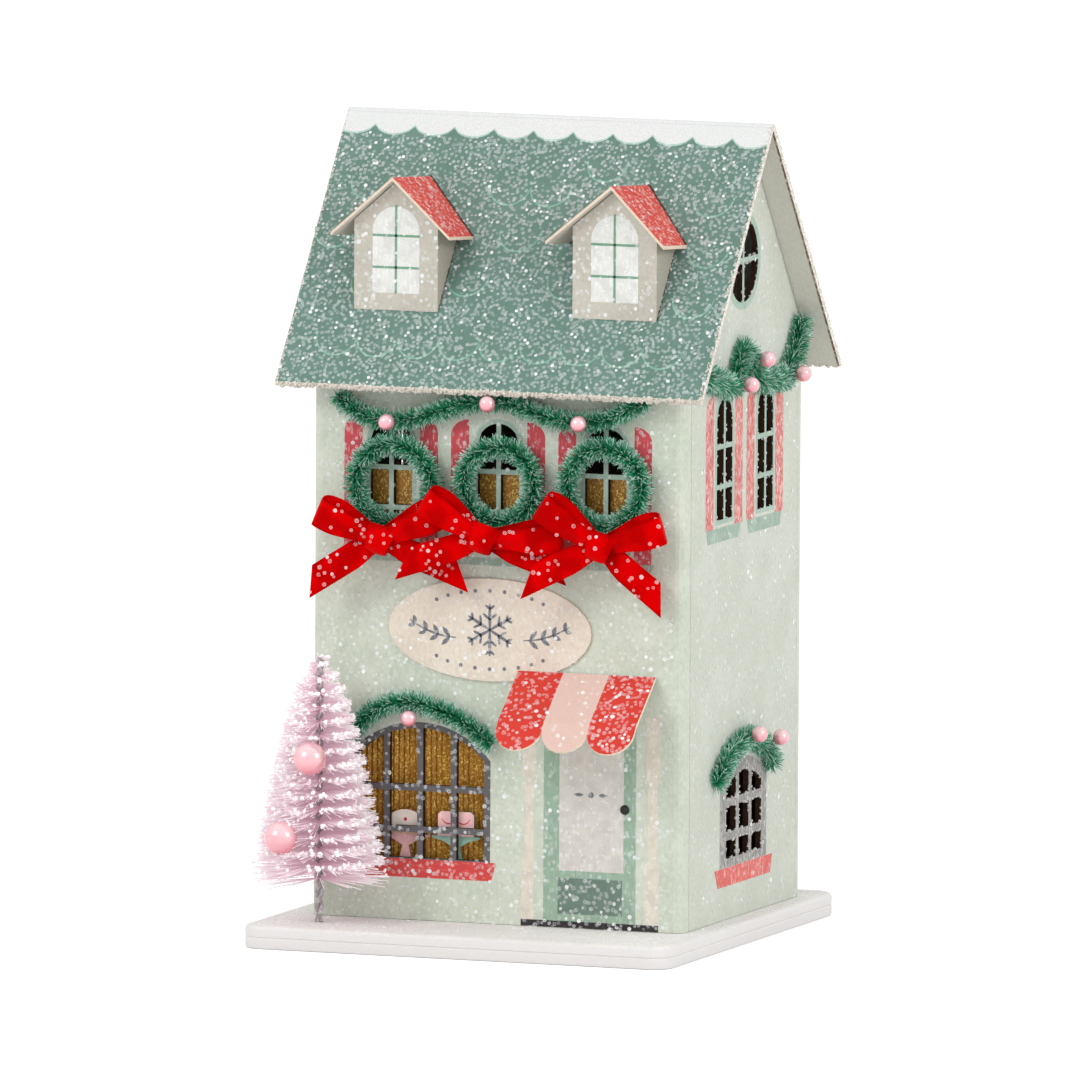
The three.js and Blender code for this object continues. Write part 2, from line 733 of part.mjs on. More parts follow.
// Two wires twisted together, drawn as one turning two-lobed rod.
function twistedWire() {
  const sides = 8;
  const rings = Math.round(((treeTop - wallFoot) / wireTurn) * 8);
  const positions = [];
  const triangles = [];
  for (let ring = 0; ring <= rings; ring += 1) {
    const z = wallFoot + ((treeTop - wallFoot) * ring) / rings;
    const twist = ((z - wallFoot) / wireTurn) * 360 * degree;
    for (let i = 0; i < sides; i += 1) {
      const angle = (i * 360 * degree) / sides;
      const radius = wireRadius * (0.72 + 0.28 * Math.cos(2 * angle));
      positions.push(radius * Math.cos(angle + twist), radius * Math.sin(angle + twist), z);
    }
  }
  for (let ring = 0; ring < rings; ring += 1) {
    for (let i = 0; i < sides; i += 1) {
      const a = ring * sides + i;
      const b = ring * sides + ((i + 1) % sides);
      triangles.push(a, b, a + sides, b, b + sides, a + sides);
    }
  }
  const last = rings * sides;
  for (let i = 1; i < sides - 1; i += 1) {
    triangles.push(0, i + 1, i, last, last + i, last + i + 1);
  }
  return meshFrom(positions, triangles);
}

// How far the brush reaches at a height, from its foot to its top.
function brushReachAt(z) {
  const share = (z - brushFoot) / (treeTop - brushFoot);
  return brushRadius * Math.sqrt(Math.max(1 - share, 0.02));
}

const treeBeads = [
  { name: 'tree_bead_upper', height: 47, angle: -82, sink: 0.2 },
  { name: 'tree_bead_lower', height: 27.6, angle: -111, sink: 0.6 },
];

function treeBeadCentre({ height, angle, sink }) {
  const reach = brushReachAt(height) - sink;
  return new THREE.Vector3(reach * Math.cos(angle * degree), reach * Math.sin(angle * degree), height);
}

// How far a strand may run before it meets the wall, the garland or a bead.
function strandReach(angle, z, reach) {
  const toWall = frontY - seatGap - treeY;
  const toGarland = toWall - 2 * garlandRadius - seatGap;
  const room = z > shopArchTop + shopGarlandFoot - seatGap ? toGarland : toWall;
  const back = Math.sin(angle);
  let limit = back > 0.05 ? Math.min(reach, room / back) : reach;
  treeBeads.forEach((bead) => {
    const centre = treeBeadCentre(bead);
    const clear = treeBeadRadius + seatGap + strandRadius;
    const along = centre.x * Math.cos(angle) + centre.y * Math.sin(angle);
    const offset = Math.hypot(centre.x, centre.y) ** 2 - along ** 2 + (centre.z - z) ** 2;
    if (along > 0 && offset < clear ** 2) {
      limit = Math.min(limit, along - Math.sqrt(clear ** 2 - offset));
    }
  });
  return limit;
}

function treeBrush() {
  const inside = wireRadius + seatGap;
  const outside = inside + brushSleeve;
  const ring = shapeOf(arc(0, 0, outside, 0, 330 * degree, 11), [arc(0, 0, inside, 330 * degree, 0, 11)]);
  const top = treeTop - brushPitch / 2;
  const pieces = [toSolid(standing(ring, brushFoot - brushPitch / 2, top - brushFoot + brushPitch / 2))];
  const turns = (top - brushFoot) / brushPitch;
  for (let i = 0; i < brushStrands; i += 1) {
    const share = 1 - Math.sqrt(1 - (i + 0.5) / brushStrands);
    const z = brushFoot + share * turns * brushPitch;
    const angle = share * turns * 360 * degree;
    const reach = strandReach(angle, z, brushReachAt(z));
    if (reach > outside + 1) {
      const aim = new THREE.Vector3(Math.cos(angle), Math.sin(angle), 0);
      const lift = new THREE.Vector3(0, 0, z);
      const root = aim.clone().multiplyScalar(inside + brushSleeve / 2).add(lift);
      const tip = aim.multiplyScalar(reach).add(lift);
      pieces.push(strand(root, tip, strandRadius));
    }
  }
  return toGeometry(wasm.Manifold.union(pieces));
}

// Colours
const finishes = {
  sage: paint(0xccd3c2),
  roofGreen: paint(0x6f958a),
  base: paint(0xf0efec),
  greige: paint(0xcfc8bd),
  red: paint(0xd9534a, 0.7),
  pink: paint(0xe8c6bc),
  cream: paint(0xe7dccf),
  mint: paint(0xa8c9b8),
  gold: paint(0x8a6420, 0.45, 0.3),
  satin: paint(0xd00a0a, 0.4),
  chenille: paint(0x2f8460),
  pearl: paint(0xf2a9ad, 0.2),
  wire: paint(0x77716e, 0.4, 0.7),
  lilac: paint(0xdcc3d6),
  black: paint(0x26262b, 0.35),
};

const group = new THREE.Group();

function add(name, geometry, material, parent = group) {
  const mesh = new THREE.Mesh(geometry, material);
  mesh.name = name;
  parent.add(mesh);
  return mesh;
}

// Pearls rest where a garland's path marks them.
function addBeads(name, path, place) {
  const seat = garlandRadius + seatGap + beadRadius;
  path.filter((point) => point.length > 2).forEach(([along, z, roll], i) => {
    const bead = add(`${name}_${i + 1}`, new THREE.SphereGeometry(beadRadius, 12, 8), finishes.pearl);
    const out = garlandRadius + seatGap + seat * Math.cos(roll * degree);
    bead.position.copy(place(along, out, z + seat * Math.sin(roll * degree)));
  });
}

function addFrontBeads(name, { middle, head, path }) {
  addBeads(name, path, (x, out, z) => new THREE.Vector3(middle + x, frontY - out, head + z));
}

function addGableBeads(name, { head, path }, side) {
  const wall = side > 0 ? rightX : leftX;
  addBeads(name, path, (y, out, z) => new THREE.Vector3(wall + side * out, ridgeY + y, head + z));
}

add('base_board', baseBoard(), finishes.base);
add('front_wall', frontWall(), finishes.sage);
add('back_wall', backWall(), finishes.sage);
add('left_wall', gableWall(leftX), finishes.sage);
add('right_wall', gableWall(rightX - wallBoard), finishes.sage);
add('roof_front', roofSlopeBoard(-1), finishes.roofGreen);
add('roof_back', roofSlopeBoard(1), finishes.roofGreen);

const dormerMiddle = bodyOffsetX + dormerOffsetX;
const leftDormerX = dormerMiddle - dormerPitch / 2;
const rightDormerX = dormerMiddle + dormerPitch / 2;
add('left_dormer_body', dormerBody(leftDormerX, leftDormerHalves), finishes.greige);
add('left_dormer_roof', dormerRoof(leftDormerX, leftDormerHalves), finishes.red);
add('right_dormer_body', dormerBody(rightDormerX, rightDormerHalves), finishes.greige);
add('right_dormer_roof', dormerRoof(rightDormerX, rightDormerHalves), finishes.red);

add('awning', awning(), finishes.red);
add('sign_plate', signPlate(), finishes.cream);
add('door_knob', doorKnob(), finishes.black)
  .position.set(rightX - knobInset, frontY - glueGap, knobHeight);

add('upper_gold_card', upperGold(), finishes.gold);
add('shop_gold_card', shopGold(), finishes.gold);
const cakesX = shopCentreX + cakeOffsetX;
add('left_cake', cakeCardSolid(cakesX - cakePitch / 2, true), finishes.pink);
add('right_cake', cakeCardSolid(cakesX + cakePitch / 2, false), finishes.mint);

// Bows hang from their wreaths, drop being from the wreath's middle to the knot's.
// Loops are [angle, length] and tails [angle, length, slant of the cut end].
const bows = {
  left: {
    aside: -1.6,
    drop: 13.1,
    leftLoop: [157, 16.8],
    rightLoop: [24, 17.4],
    leftTail: [212, 20.6, -3.4],
    rightTail: [-22, 24, -3],
  },
  middle: {
    aside: -2,
    drop: 12.8,
    leftLoop: [148, 17.4],
    rightLoop: [2, 20],
    leftTail: [204, 21, 3.2],
    rightTail: [-20, 20, 1],
  },
  right: {
    aside: 0.8,
    drop: 13.9,
    leftLoop: [146, 17.6],
    rightLoop: [17, 16.6],
    leftTail: [206, 20.4, 3.4],
    rightTail: [-40, 19.6, -3],
  },
};
Object.entries(bows).forEach(([name, measures], place) => {
  add(`wreath_${name}`, wreath(wreathCentre(place), measures), finishes.chenille);
  add(`bow_${name}`, bow(measures, place), finishes.satin);
});

const eaveGarland = {
  middle: bodyOffsetX,
  head: frontTallHead,
  steps: 36,
  path: [
    [-41, 5.3], [-37.2, 2.5], [-33, 0.6], [-26.4, -0.2, 2], [-21, 0.7], [-14.2, 2.8], [-7.5, 4.8],
    [-0.2, 5.8, -4], [5.6, 5], [11.8, 2.9], [17.5, 1.7], [23.5, 1.4, 2], [28.8, 2.4], [33.8, 4.6],
    [39, 7.2],
  ],
};
add('eave_garland', frontGarland(eaveGarland), finishes.chenille);
addFrontBeads('eave_bead', eaveGarland);

const shopGarland = { middle: shopCentreX, head: shopArchTop, steps: 24, path: shopGarlandPath };
add('shop_garland', frontGarland(shopGarland), finishes.chenille);
addFrontBeads('shop_bead', shopGarland);

const upperGarland = {
  head: gableTallHead,
  steps: 34,
  path: [
    [-33.5, 7.2], [-22.6, 4.7], [-12.2, 2.8, 4], [-9.2, 6.8], [-5.4, 10.8], [-0.9, 7.9, 6], [4, 3.4],
    [16.3, 1.6], [24.6, 2, 5], [28.8, 6.1], [31.6, 11], [33, 15.2],
  ],
};
const lowerGarland = {
  head: lowArchTop,
  steps: 20,
  path: [
    [-24.3, 0.1], [-19.9, 3.7], [-13, 7.3], [-4.8, 9.6, -2], [2.2, 9.8], [10.3, 6.7, 5], [15, 3.4],
    [17.6, -0.5],
  ],
};
[['right', 1], ['left', -1]].forEach(([name, side]) => {
  add(`${name}_upper_garland`, gableGarland(upperGarland, side), finishes.chenille);
  addGableBeads(`${name}_upper_bead`, upperGarland, side);
  add(`${name}_lower_garland`, gableGarland(lowerGarland, side), finishes.chenille);
  addGableBeads(`${name}_lower_bead`, lowerGarland, side);
});

const tree = new THREE.Group();
tree.position.set(treeX, treeY, 0);
group.add(tree);
add('tree_wire', twistedWire(), finishes.wire, tree);
add('tree_brush', treeBrush(), finishes.lilac, tree);
treeBeads.forEach((bead) => {
  const pearl = add(bead.name, new THREE.SphereGeometry(treeBeadRadius, 16, 10), finishes.pearl, tree);
  pearl.position.copy(treeBeadCentre(bead));
});

export default group;
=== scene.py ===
"""A glittered cardboard village house for Christmas, dressed around its solid model.

Sizes are in millimetres in the model's own frame, X to the right, Y to the back and
Z up. They become metres where a mesh is made.
"""
import logging
import math
import random
from dataclasses import dataclass, field
from enum import Enum
from typing import Any, Callable, Iterable, Mapping, Sequence

import bmesh
import bpy
from mathutils import Matrix, Vector
from mathutils.geometry import tessellate_polygon


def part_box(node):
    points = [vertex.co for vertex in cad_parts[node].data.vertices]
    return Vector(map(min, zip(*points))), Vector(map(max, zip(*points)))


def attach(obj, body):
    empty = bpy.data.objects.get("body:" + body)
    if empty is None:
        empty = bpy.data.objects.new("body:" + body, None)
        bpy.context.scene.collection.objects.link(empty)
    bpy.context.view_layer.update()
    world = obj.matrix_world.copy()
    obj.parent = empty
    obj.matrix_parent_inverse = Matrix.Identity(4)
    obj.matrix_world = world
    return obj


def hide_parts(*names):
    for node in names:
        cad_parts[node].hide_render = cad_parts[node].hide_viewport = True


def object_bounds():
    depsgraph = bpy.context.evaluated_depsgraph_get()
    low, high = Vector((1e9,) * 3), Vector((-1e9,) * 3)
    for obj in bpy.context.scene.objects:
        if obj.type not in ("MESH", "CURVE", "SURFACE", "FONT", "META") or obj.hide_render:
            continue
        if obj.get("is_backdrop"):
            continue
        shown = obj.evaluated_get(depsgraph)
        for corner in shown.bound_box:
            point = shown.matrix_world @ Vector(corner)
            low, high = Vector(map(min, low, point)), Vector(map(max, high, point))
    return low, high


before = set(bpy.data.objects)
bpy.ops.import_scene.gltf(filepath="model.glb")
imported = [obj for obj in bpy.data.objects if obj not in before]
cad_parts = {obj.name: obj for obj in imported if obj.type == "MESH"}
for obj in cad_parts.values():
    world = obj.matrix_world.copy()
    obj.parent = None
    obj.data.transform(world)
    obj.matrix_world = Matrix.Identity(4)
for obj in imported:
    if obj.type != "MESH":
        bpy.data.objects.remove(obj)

log = logging.getLogger("village_house")

MM = 0.001
Colour = tuple[float, float, float]
Point = tuple[float, float]
Box = tuple[float, float, float, float]
Ends = tuple[float, float, float, float]
Route = Sequence[Sequence[float]]
Socket = bpy.types.NodeSocket
Material = bpy.types.Material
Mesh = bpy.types.Mesh
BMesh = bmesh.types.BMesh


class Side(Enum):
    """One of the two gables or dormers, as seen from the front."""

    LEFT = "left"
    RIGHT = "right"


class Slope(Enum):
    """One of the two slopes of the roof."""

    FRONT = "front"
    BACK = "back"


def lows(node: str) -> Vector:
    """Lowest corner of a solid, in millimetres."""
    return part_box(node)[0] / MM


def highs(node: str) -> Vector:
    """Highest corner of a solid, in millimetres."""
    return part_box(node)[1] / MM


# Planes of the house, taken from its solids
FRONT_Y = lows("front_wall").y
BACK_Y = highs("back_wall").y
LEFT_X = lows("left_wall").x
RIGHT_X = highs("right_wall").x
BASE_TOP = highs("base_board").z
MIDDLE_X = (LEFT_X + RIGHT_X) / 2
RIDGE_Y = (FRONT_Y + BACK_Y) / 2
ROOF_LEFT = lows("roof_front").x
ROOF_RIGHT = highs("roof_front").x

# The roof, as the solid model has it
ROOF_PITCH = math.radians(52.2)
RIDGE_PEAK = 200.757        # where the two outer planes of the roof meet

# Smallest cosine between a face's normal and a direction that it looks in
LEAST_FACING = 0.35


def linear(colour: Colour) -> tuple[float, float, float, float]:
    """Turns a screen colour into the light values that a shader takes.

    Args:
        colour: Red, green and blue from 0 to 1, as they look on a screen.

    Returns:
        Red, green, blue and an alpha of 1.
    """
    light = [c / 12.92 if c <= 0.04045 else ((c + 0.055) / 1.055) ** 2.4 for c in colour]
    return (light[0], light[1], light[2], 1.0)


def toned(colour: Colour, factor: float) -> Colour:
    """A lighter or darker kind of a colour."""
    return tuple(min(1.0, c * factor) for c in colour)


def threshold(share: float) -> float:
    """The value of cloudy noise that about this share of a surface stays over."""
    return 0.72 - 0.4 * share


class Wiring:
    """Grows a node tree by short calls."""

    def __init__(self, tree: bpy.types.NodeTree) -> None:
        """Keeps the tree that the nodes go into."""
        self.tree = tree

    def feed(self, socket: Socket, value: Any) -> None:
        """Sets an input to a value, or links it to a socket.

        Args:
            socket: The input.
            value: A number, a colour, a vector or an output.
        """
        if isinstance(value, Socket):
            self.tree.links.new(value, socket)
        else:
            socket.default_value = value

    def add(
        self, kind: str, inputs: Mapping[str | int, Any] | None = None, **settings: Any
    ) -> bpy.types.Node:
        """Adds one node.

        Args:
            kind: The node's type name.
            inputs: Values or sockets, by the input's name or number.
            **settings: Properties of the node itself.

        Returns:
            The new node.
        """
        node = self.tree.nodes.new(kind)
        for key, value in settings.items():
            setattr(node, key, value)
        for key, value in (inputs or {}).items():
            self.feed(node.inputs[key], value)
        return node

    def math(self, how: str, first: Any, second: Any = 0.0) -> Socket:
        """Arithmetic on two numbers, by the name of the operation."""
        return self.add("ShaderNodeMath", {0: first, 1: second}, operation=how).outputs[0]

    def times(self, first: Any, second: Any) -> Socket:
        """Multiplies two numbers."""
        return self.math("MULTIPLY", first, second)

    def vector(self, how: str, first: Any, second: Any = (0, 0, 0), output: str = "Vector") -> Socket:
        """Arithmetic on two vectors, by the name of the operation."""
        return self.add("ShaderNodeVectorMath", {0: first, 1: second}, operation=how).outputs[output]

    def scaled(self, vector: Socket, factor: Any) -> Socket:
        """A vector times a number."""
        return self.add("ShaderNodeVectorMath", {0: vector, "Scale": factor}, operation="SCALE").outputs[0]

    def xyz(self, x: Any, y: Any, z: Any) -> Socket:
        """A vector from three numbers."""
        return self.add("ShaderNodeCombineXYZ", {0: x, 1: y, 2: z}).outputs[0]

    def axis(self, vector: Socket, name: str) -> Socket:
        """One of X, Y and Z of a vector."""
        return self.add("ShaderNodeSeparateXYZ", {"Vector": vector}).outputs[name]

    def seen(self) -> Socket:
        """1 for what the camera sees straight, in a reflection or through a clear piece.

        Returns:
            A socket, 0 or 1.
        """
        path = self.add("ShaderNodeLightPath").outputs
        straight = self.math("MAXIMUM", path["Is Camera Ray"], path["Is Glossy Ray"])
        return self.math("MAXIMUM", straight, path["Is Transmission Ray"])


class Paintbox(Wiring):
    """The nodes of one material, with patterns measured in millimetres."""

    def __init__(self, name: str) -> None:
        """Starts an empty material of that name.

        Args:
            name: The material's name.
        """
        self.material = bpy.data.materials.new(name)
        self.material.use_nodes = True
        super().__init__(self.material.node_tree)
        self.tree.nodes.clear()

    def place(self, scale: Sequence[float] = (1, 1, 1)) -> Socket:
        """Object coordinates in millimetres.

        Args:
            scale: Factor along each axis, so that 0.5 doubles the pattern.

        Returns:
            The vector socket.
        """
        coords = self.add("ShaderNodeTexCoord").outputs["Object"]
        sizes = [s / MM for s in scale]
        return self.add("ShaderNodeMapping", {"Vector": coords, "Scale": sizes}).outputs["Vector"]

    def attribute(self, name: str, output: str = "Fac") -> Socket:
        """A value that the piece's mesh carries under that name."""
        return self.add("ShaderNodeAttribute", attribute_name=name).outputs[output]

    def noise(self, where: Socket, scale: float, detail: float = 2.0, roughness: float = 0.5) -> Socket:
        """Cloudy noise.

        Args:
            where: The vector to read it at.
            scale: Clouds per millimetre.
            detail: Octaves.
            roughness: Weight of the finer octaves.

        Returns:
            A socket from 0 to 1.
        """
        inputs = {"Vector": where, "Scale": scale, "Detail": detail, "Roughness": roughness}
        return self.add("ShaderNodeTexNoise", inputs).outputs["Fac"]

    def cells(self, where: Socket, scale: float, output: str) -> Socket:
        """Cells like crushed glitter, by their Distance or random Color."""
        return self.add("ShaderNodeTexVoronoi", {"Vector": where, "Scale": scale}).outputs[output]

    def step(self, value: Socket, low: float, high: float) -> Socket:
        """A soft step from 0 at low to 1 at high."""
        inputs = {"Value": value, "From Min": low, "From Max": high}
        return self.add("ShaderNodeMapRange", inputs, interpolation_type="SMOOTHSTEP").outputs[0]

    def blend(self, factor: Any, first: Any, second: Any) -> Socket:
        """Blends two colours.

        Args:
            factor: Share of the second colour.
            first: A screen colour or a socket.
            second: A screen colour or a socket.

        Returns:
            The colour socket.
        """
        colours = [c if isinstance(c, Socket) else linear(c) for c in (first, second)]
        inputs = {0: factor, 6: colours[0], 7: colours[1]}
        return self.add("ShaderNodeMix", inputs, data_type="RGBA").outputs[2]

    def facing(self, outward: Sequence[float]) -> Socket:
        """1 on faces that look outward, and 0 elsewhere.

        Args:
            outward: The direction.

        Returns:
            A socket, 0 or 1.
        """
        normal = self.add("ShaderNodeNewGeometry").outputs["Normal"]
        cosine = self.vector("DOT_PRODUCT", normal, outward, "Value")
        return self.math("GREATER_THAN", cosine, LEAST_FACING)

    def bump(self, height: Socket, depth: float, strength: float) -> Socket:
        """Raises the surface by a height map, depth being in millimetres."""
        inputs = {"Height": height, "Distance": depth * MM, "Strength": strength}
        return self.add("ShaderNodeBump", inputs).outputs["Normal"]

    def finish(self, **sockets: Any) -> Material:
        """Ends the material in a Principled shader.

        Args:
            **sockets: Values by input name, with underscores for spaces.

        Returns:
            The material.
        """
        inputs = {}
        for key, value in sockets.items():
            is_colour = isinstance(value, tuple) and len(value) == 3
            inputs[key.replace("_", " ")] = linear(value) if is_colour else value
        shader = self.add("ShaderNodeBsdfPrincipled", inputs)
        self.add("ShaderNodeOutputMaterial", {"Surface": shader.outputs[0]})
        return self.material


@dataclass(frozen=True)
class Card:
    """Painted cardboard, with its own back and cut edge.

    Attributes:
        face: Main colour of the painted side.
        mottle: Colour of the painted side's soft blotches.
        back: Colour of the side turned away.
        edge: Colour of the cut edge.
        edge_fleck: Colour of the edge's dark specks.
        outward: Direction that the painted side faces.
        wrap: Distance from the middle of the house past which all is painted.
        fibre: How strongly the felt-like fibres show.
    """

    name: str
    face: Colour
    mottle: Colour
    back: Colour
    edge: Colour
    edge_fleck: Colour
    outward: tuple[float, float, float]
    wrap: float = 0.0
    fibre: float = 1.0

    def face_colour(self, box: Paintbox) -> Socket:
        """The painted side's colour, without its fibres.

        Args:
            box: The material's nodes.

        Returns:
            The colour socket.
        """
        blotch = box.step(box.noise(box.place(), 0.09, 3), 0.35, 0.7)
        return box.blend(blotch, self.face, self.mottle)

    def build(self) -> Material:
        """Makes the material.

        Returns:
            The material.
        """
        box = Paintbox(self.name)
        where = box.place()
        felt = box.noise(box.place((1, 1, 0.7)), 1.2, 3, 0.6)
        face = self.face_colour(box)
        pale = toned(self.mottle, 1.05)
        fibres = box.times(box.step(felt, 0.45, 0.75), 0.5 * self.fibre)
        face = box.blend(fibres, face, pale)
        deep = toned(self.face, 0.93)
        hollows = box.times(box.step(felt, 0.5, 0.28), 0.5 * self.fibre)
        face = box.blend(hollows, face, deep)
        rough = box.noise(where, 2.2, 3, 0.7)
        edge = box.blend(box.step(rough, 0.52, 0.66), self.edge, self.edge_fleck)
        back = box.blend(box.step(felt, 0.35, 0.7), self.back, toned(self.back, 0.96))
        painted = box.facing(self.outward)
        if self.wrap:
            offset = box.math("SUBTRACT", box.axis(where, "X"), MIDDLE_X)
            beyond = box.math("GREATER_THAN", box.math("ABSOLUTE", offset), self.wrap)
            painted = box.math("MAXIMUM", painted, beyond)
        away = box.facing([-c for c in self.outward])
        colour = box.blend(painted, box.blend(away, edge, back), face)
        grain = box.noise(where, 5.0, 3, 0.7)
        bump = box.bump(box.blend(painted, rough, grain), 0.12, 0.7)
        return box.finish(Base_Color=colour, Roughness=0.82, Specular_IOR_Level=0.25, Normal=bump)


@dataclass(frozen=True)
class StripedCard(Card):
    """Card with one stripe of another colour across its width.

    Attributes:
        left: Where the stripe starts.
        right: Where it ends.
    """

    stripe: Colour = (0.88, 0.765, 0.72)
    left: float = 0.0
    right: float = 1.0

    def face_colour(self, box: Paintbox) -> Socket:
        """The stripes, with their edges a little uneven.

        Args:
            box: The material's nodes.

        Returns:
            The colour socket.
        """
        ragged = box.times(box.noise(box.place(), 1.5, 2), 0.3)
        x = box.math("ADD", box.axis(box.place(), "X"), ragged)
        inside = box.times(box.math("GREATER_THAN", x, self.left), box.math("LESS_THAN", x, self.right))
        return box.blend(inside, super().face_colour(box), self.stripe)


@dataclass(frozen=True)
class StreakedCard(Card):
    """Card brushed with short pale strokes.

    Attributes:
        streak: Colour of the strokes.
        stretch: Factors along the axes that set the strokes' direction.
        amount: Share of the surface that the strokes take.
    """

    streak: Colour = (0.94, 0.74, 0.70)
    stretch: tuple[float, float, float] = (1.0, 0.4, 0.4)
    amount: float = 0.4

    def face_colour(self, box: Paintbox) -> Socket:
        """The ground colour under its strokes.

        Args:
            box: The material's nodes.

        Returns:
            The colour socket.
        """
        strokes = box.noise(box.place(self.stretch), 1.7, 3, 0.6)
        low = threshold(self.amount)
        mask = box.times(box.step(strokes, low - 0.04, low + 0.06), 0.85)
        return box.blend(mask, super().face_colour(box), self.streak)


@dataclass(frozen=True)
class Paint:
    """A printed patch, dry at its edges, with pale streaks through it.

    Attributes:
        streak: Colour of the streaks.
        amount: Share of the surface that the streaks take.
        stretch: Factors along the axes that set the streaks' direction.
        scale: Streaks per millimetre across.
    """

    name: str
    colour: Colour
    streak: Colour
    amount: float = 0.3
    stretch: tuple[float, float, float] = (1, 1, 0.25)
    scale: float = 1.6

    def build(self) -> Material:
        """Makes the material.

        Returns:
            The material.
        """
        box = Paintbox(self.name)
        streaks = box.noise(box.place(self.stretch), self.scale, 3, 0.65)
        edge = threshold(self.amount)
        mask = box.step(streaks, edge - 0.06, edge + 0.08)
        colour = box.blend(mask, self.colour, self.streak)
        cloud = box.noise(box.place(), 0.35, 3)
        shade = toned(self.colour, 0.92)
        shaded = box.times(box.step(cloud, 0.6, 0.35), 0.6)
        colour = box.blend(shaded, colour, shade)
        bump = box.bump(box.noise(box.place(), 4.0, 3, 0.7), 0.08, 0.6)
        return box.finish(Base_Color=colour, Roughness=0.7, Specular_IOR_Level=0.3, Normal=bump)


@dataclass(frozen=True)
class Frost:
    """White snow paint full of fine glitter, grainy to the touch.

    Attributes:
        tint: Colour of the grains' shaded sides.
        glow: Strength of a painted glow, light emitted in the grains' own colour that brightens them in
            shade.
    """

    name: str
    colour: Colour
    tint: Colour
    glow: float = 0.0

    def build(self) -> Material:
        """Makes the material.

        Returns:
            The material.
        """
        box = Paintbox(self.name)
        where = box.place()
        grain = box.cells(where, 2.4, "Distance")
        spark = box.cells(where, 2.4, "Color")
        colour = box.blend(box.step(grain, 0.15, 0.6), self.colour, self.tint)
        cloud = box.step(box.noise(where, 0.12, 3), 0.4, 0.7)
        colour = box.blend(box.times(cloud, 0.5), colour, self.tint)
        shine = box.times(box.axis(spark, "X"), 0.6)
        rough = box.math("SUBTRACT", 0.8, shine)
        bump = box.bump(grain, 0.12, 0.6)
        # The emission is painted light at the glow's strength.
        return box.finish(
            Base_Color=colour, Roughness=rough, Specular_IOR_Level=0.4, Normal=bump, Emission_Color=colour,
            Emission_Strength=self.glow
        )


@dataclass(frozen=True)
class Gold:
    """Ribbed card covered in brown-gold glitter, with rows of bright dashes and bright specks that are
    painted glints of the glitter.
    """

    name: str = "gold_glitter_card"
    deep: Colour = (0.66, 0.43, 0.09)
    body: Colour = (0.80, 0.56, 0.18)
    spark: Colour = (1.0, 0.88, 0.46)
    rib_pitch: float = 1.4

    def build(self) -> Material:
        """Makes the material.

        Returns:
            The material.
        """
        box = Paintbox(self.name)
        where = box.place()
        grain = box.cells(where, 3.2, "Color")
        colour = box.blend(box.axis(grain, "X"), self.deep, self.body)
        # Painted glints: the bright dashes along the ribs and the bright specks below.
        dash = box.noise(box.place((1 / self.rib_pitch * 2, 1, 0.8)), 1.6, 2, 0.5)
        colour = box.blend(box.step(dash, 0.56, 0.7), colour, self.spark)
        bright = box.step(box.axis(grain, "Y"), 0.86, 0.93)
        colour = box.blend(box.times(bright, 0.8), colour, self.spark)
        bump = box.bump(box.axis(grain, "Z"), 0.15, 0.8)
        return box.finish(Base_Color=colour, Roughness=0.42, Metallic=0.35, Normal=bump)


@dataclass(frozen=True)
class Flake:
    """Clear iridescent glitter flakes: a bright rim round a see-through middle.

    Attributes:
        rim: How solid the rim looks, 1 being opaque.
        middle: How solid the middle of a glinting flake looks.
        glare: How solid the few flakes look that throw the light back.
    """

    name: str = "clear_flake"
    colour: Colour = (0.97, 0.98, 0.98)
    rim: float = 0.12
    middle: float = 0.15
    glare: float = 0.5

    def build(self) -> Material:
        """Makes the material.

        Returns:
            The material.
        """
        box = Paintbox(self.name)
        disc = box.attribute("disc", "Vector")
        radius = box.vector("LENGTH", disc, output="Value")
        glint = box.attribute("glint")
        rim = box.times(box.step(radius, 0.0, 0.7), self.rim)
        strong = box.times(box.step(glint, 0.88, 1.0), self.glare)
        alpha = box.math("ADD", box.times(glint, self.middle), rim)
        alpha = box.math("ADD", alpha, strong)
        alpha = box.times(alpha, box.step(radius, 0.98, 0.76))
        return box.finish(Base_Color=self.colour, Roughness=0.35, Alpha=alpha, Specular_IOR_Level=0.3)


@dataclass(frozen=True)
class Bristle:
    """Fine stiff hair that changes colour from its root to its tip.

    Attributes:
        root: Colour at the wire.
        body: Colour half way out.
        tip: Colour of the frosted ends.
        frost_from: Share of the hair's length where the frost starts.
        frost_share: Share of the hairs that carry frost.
        glow: Strength of a painted glow, light emitted in the hair's own colour that brightens it in shade.
    """

    name: str
    root: Colour
    body: Colour
    tip: Colour
    frost_from: float = 0.55
    frost_share: float = 0.5
    glow: float = 0.0

    def build(self) -> Material:
        """Makes the material.

        Returns:
            The material.
        """
        box = Paintbox(self.name)
        tip = box.attribute("tip")
        kind = box.attribute("kind")
        colour = box.blend(box.step(tip, 0.05, 0.55), self.root, self.body)
        frosted = box.step(kind, 1 - self.frost_share - 0.15, 1 - self.frost_share + 0.15)
        frost = box.times(box.step(tip, self.frost_from, 1.0), frosted)
        colour = box.blend(frost, colour, self.tip)
        patch = box.noise(box.place(), 0.3, 2)
        colour = box.blend(box.times(box.step(patch, 0.62, 0.4), 0.35), colour, self.root)
        # The emission is painted light at the glow's strength.
        return box.finish(
            Base_Color=colour, Roughness=0.55, Specular_IOR_Level=0.3, Emission_Color=colour,
            Emission_Strength=self.glow
        )


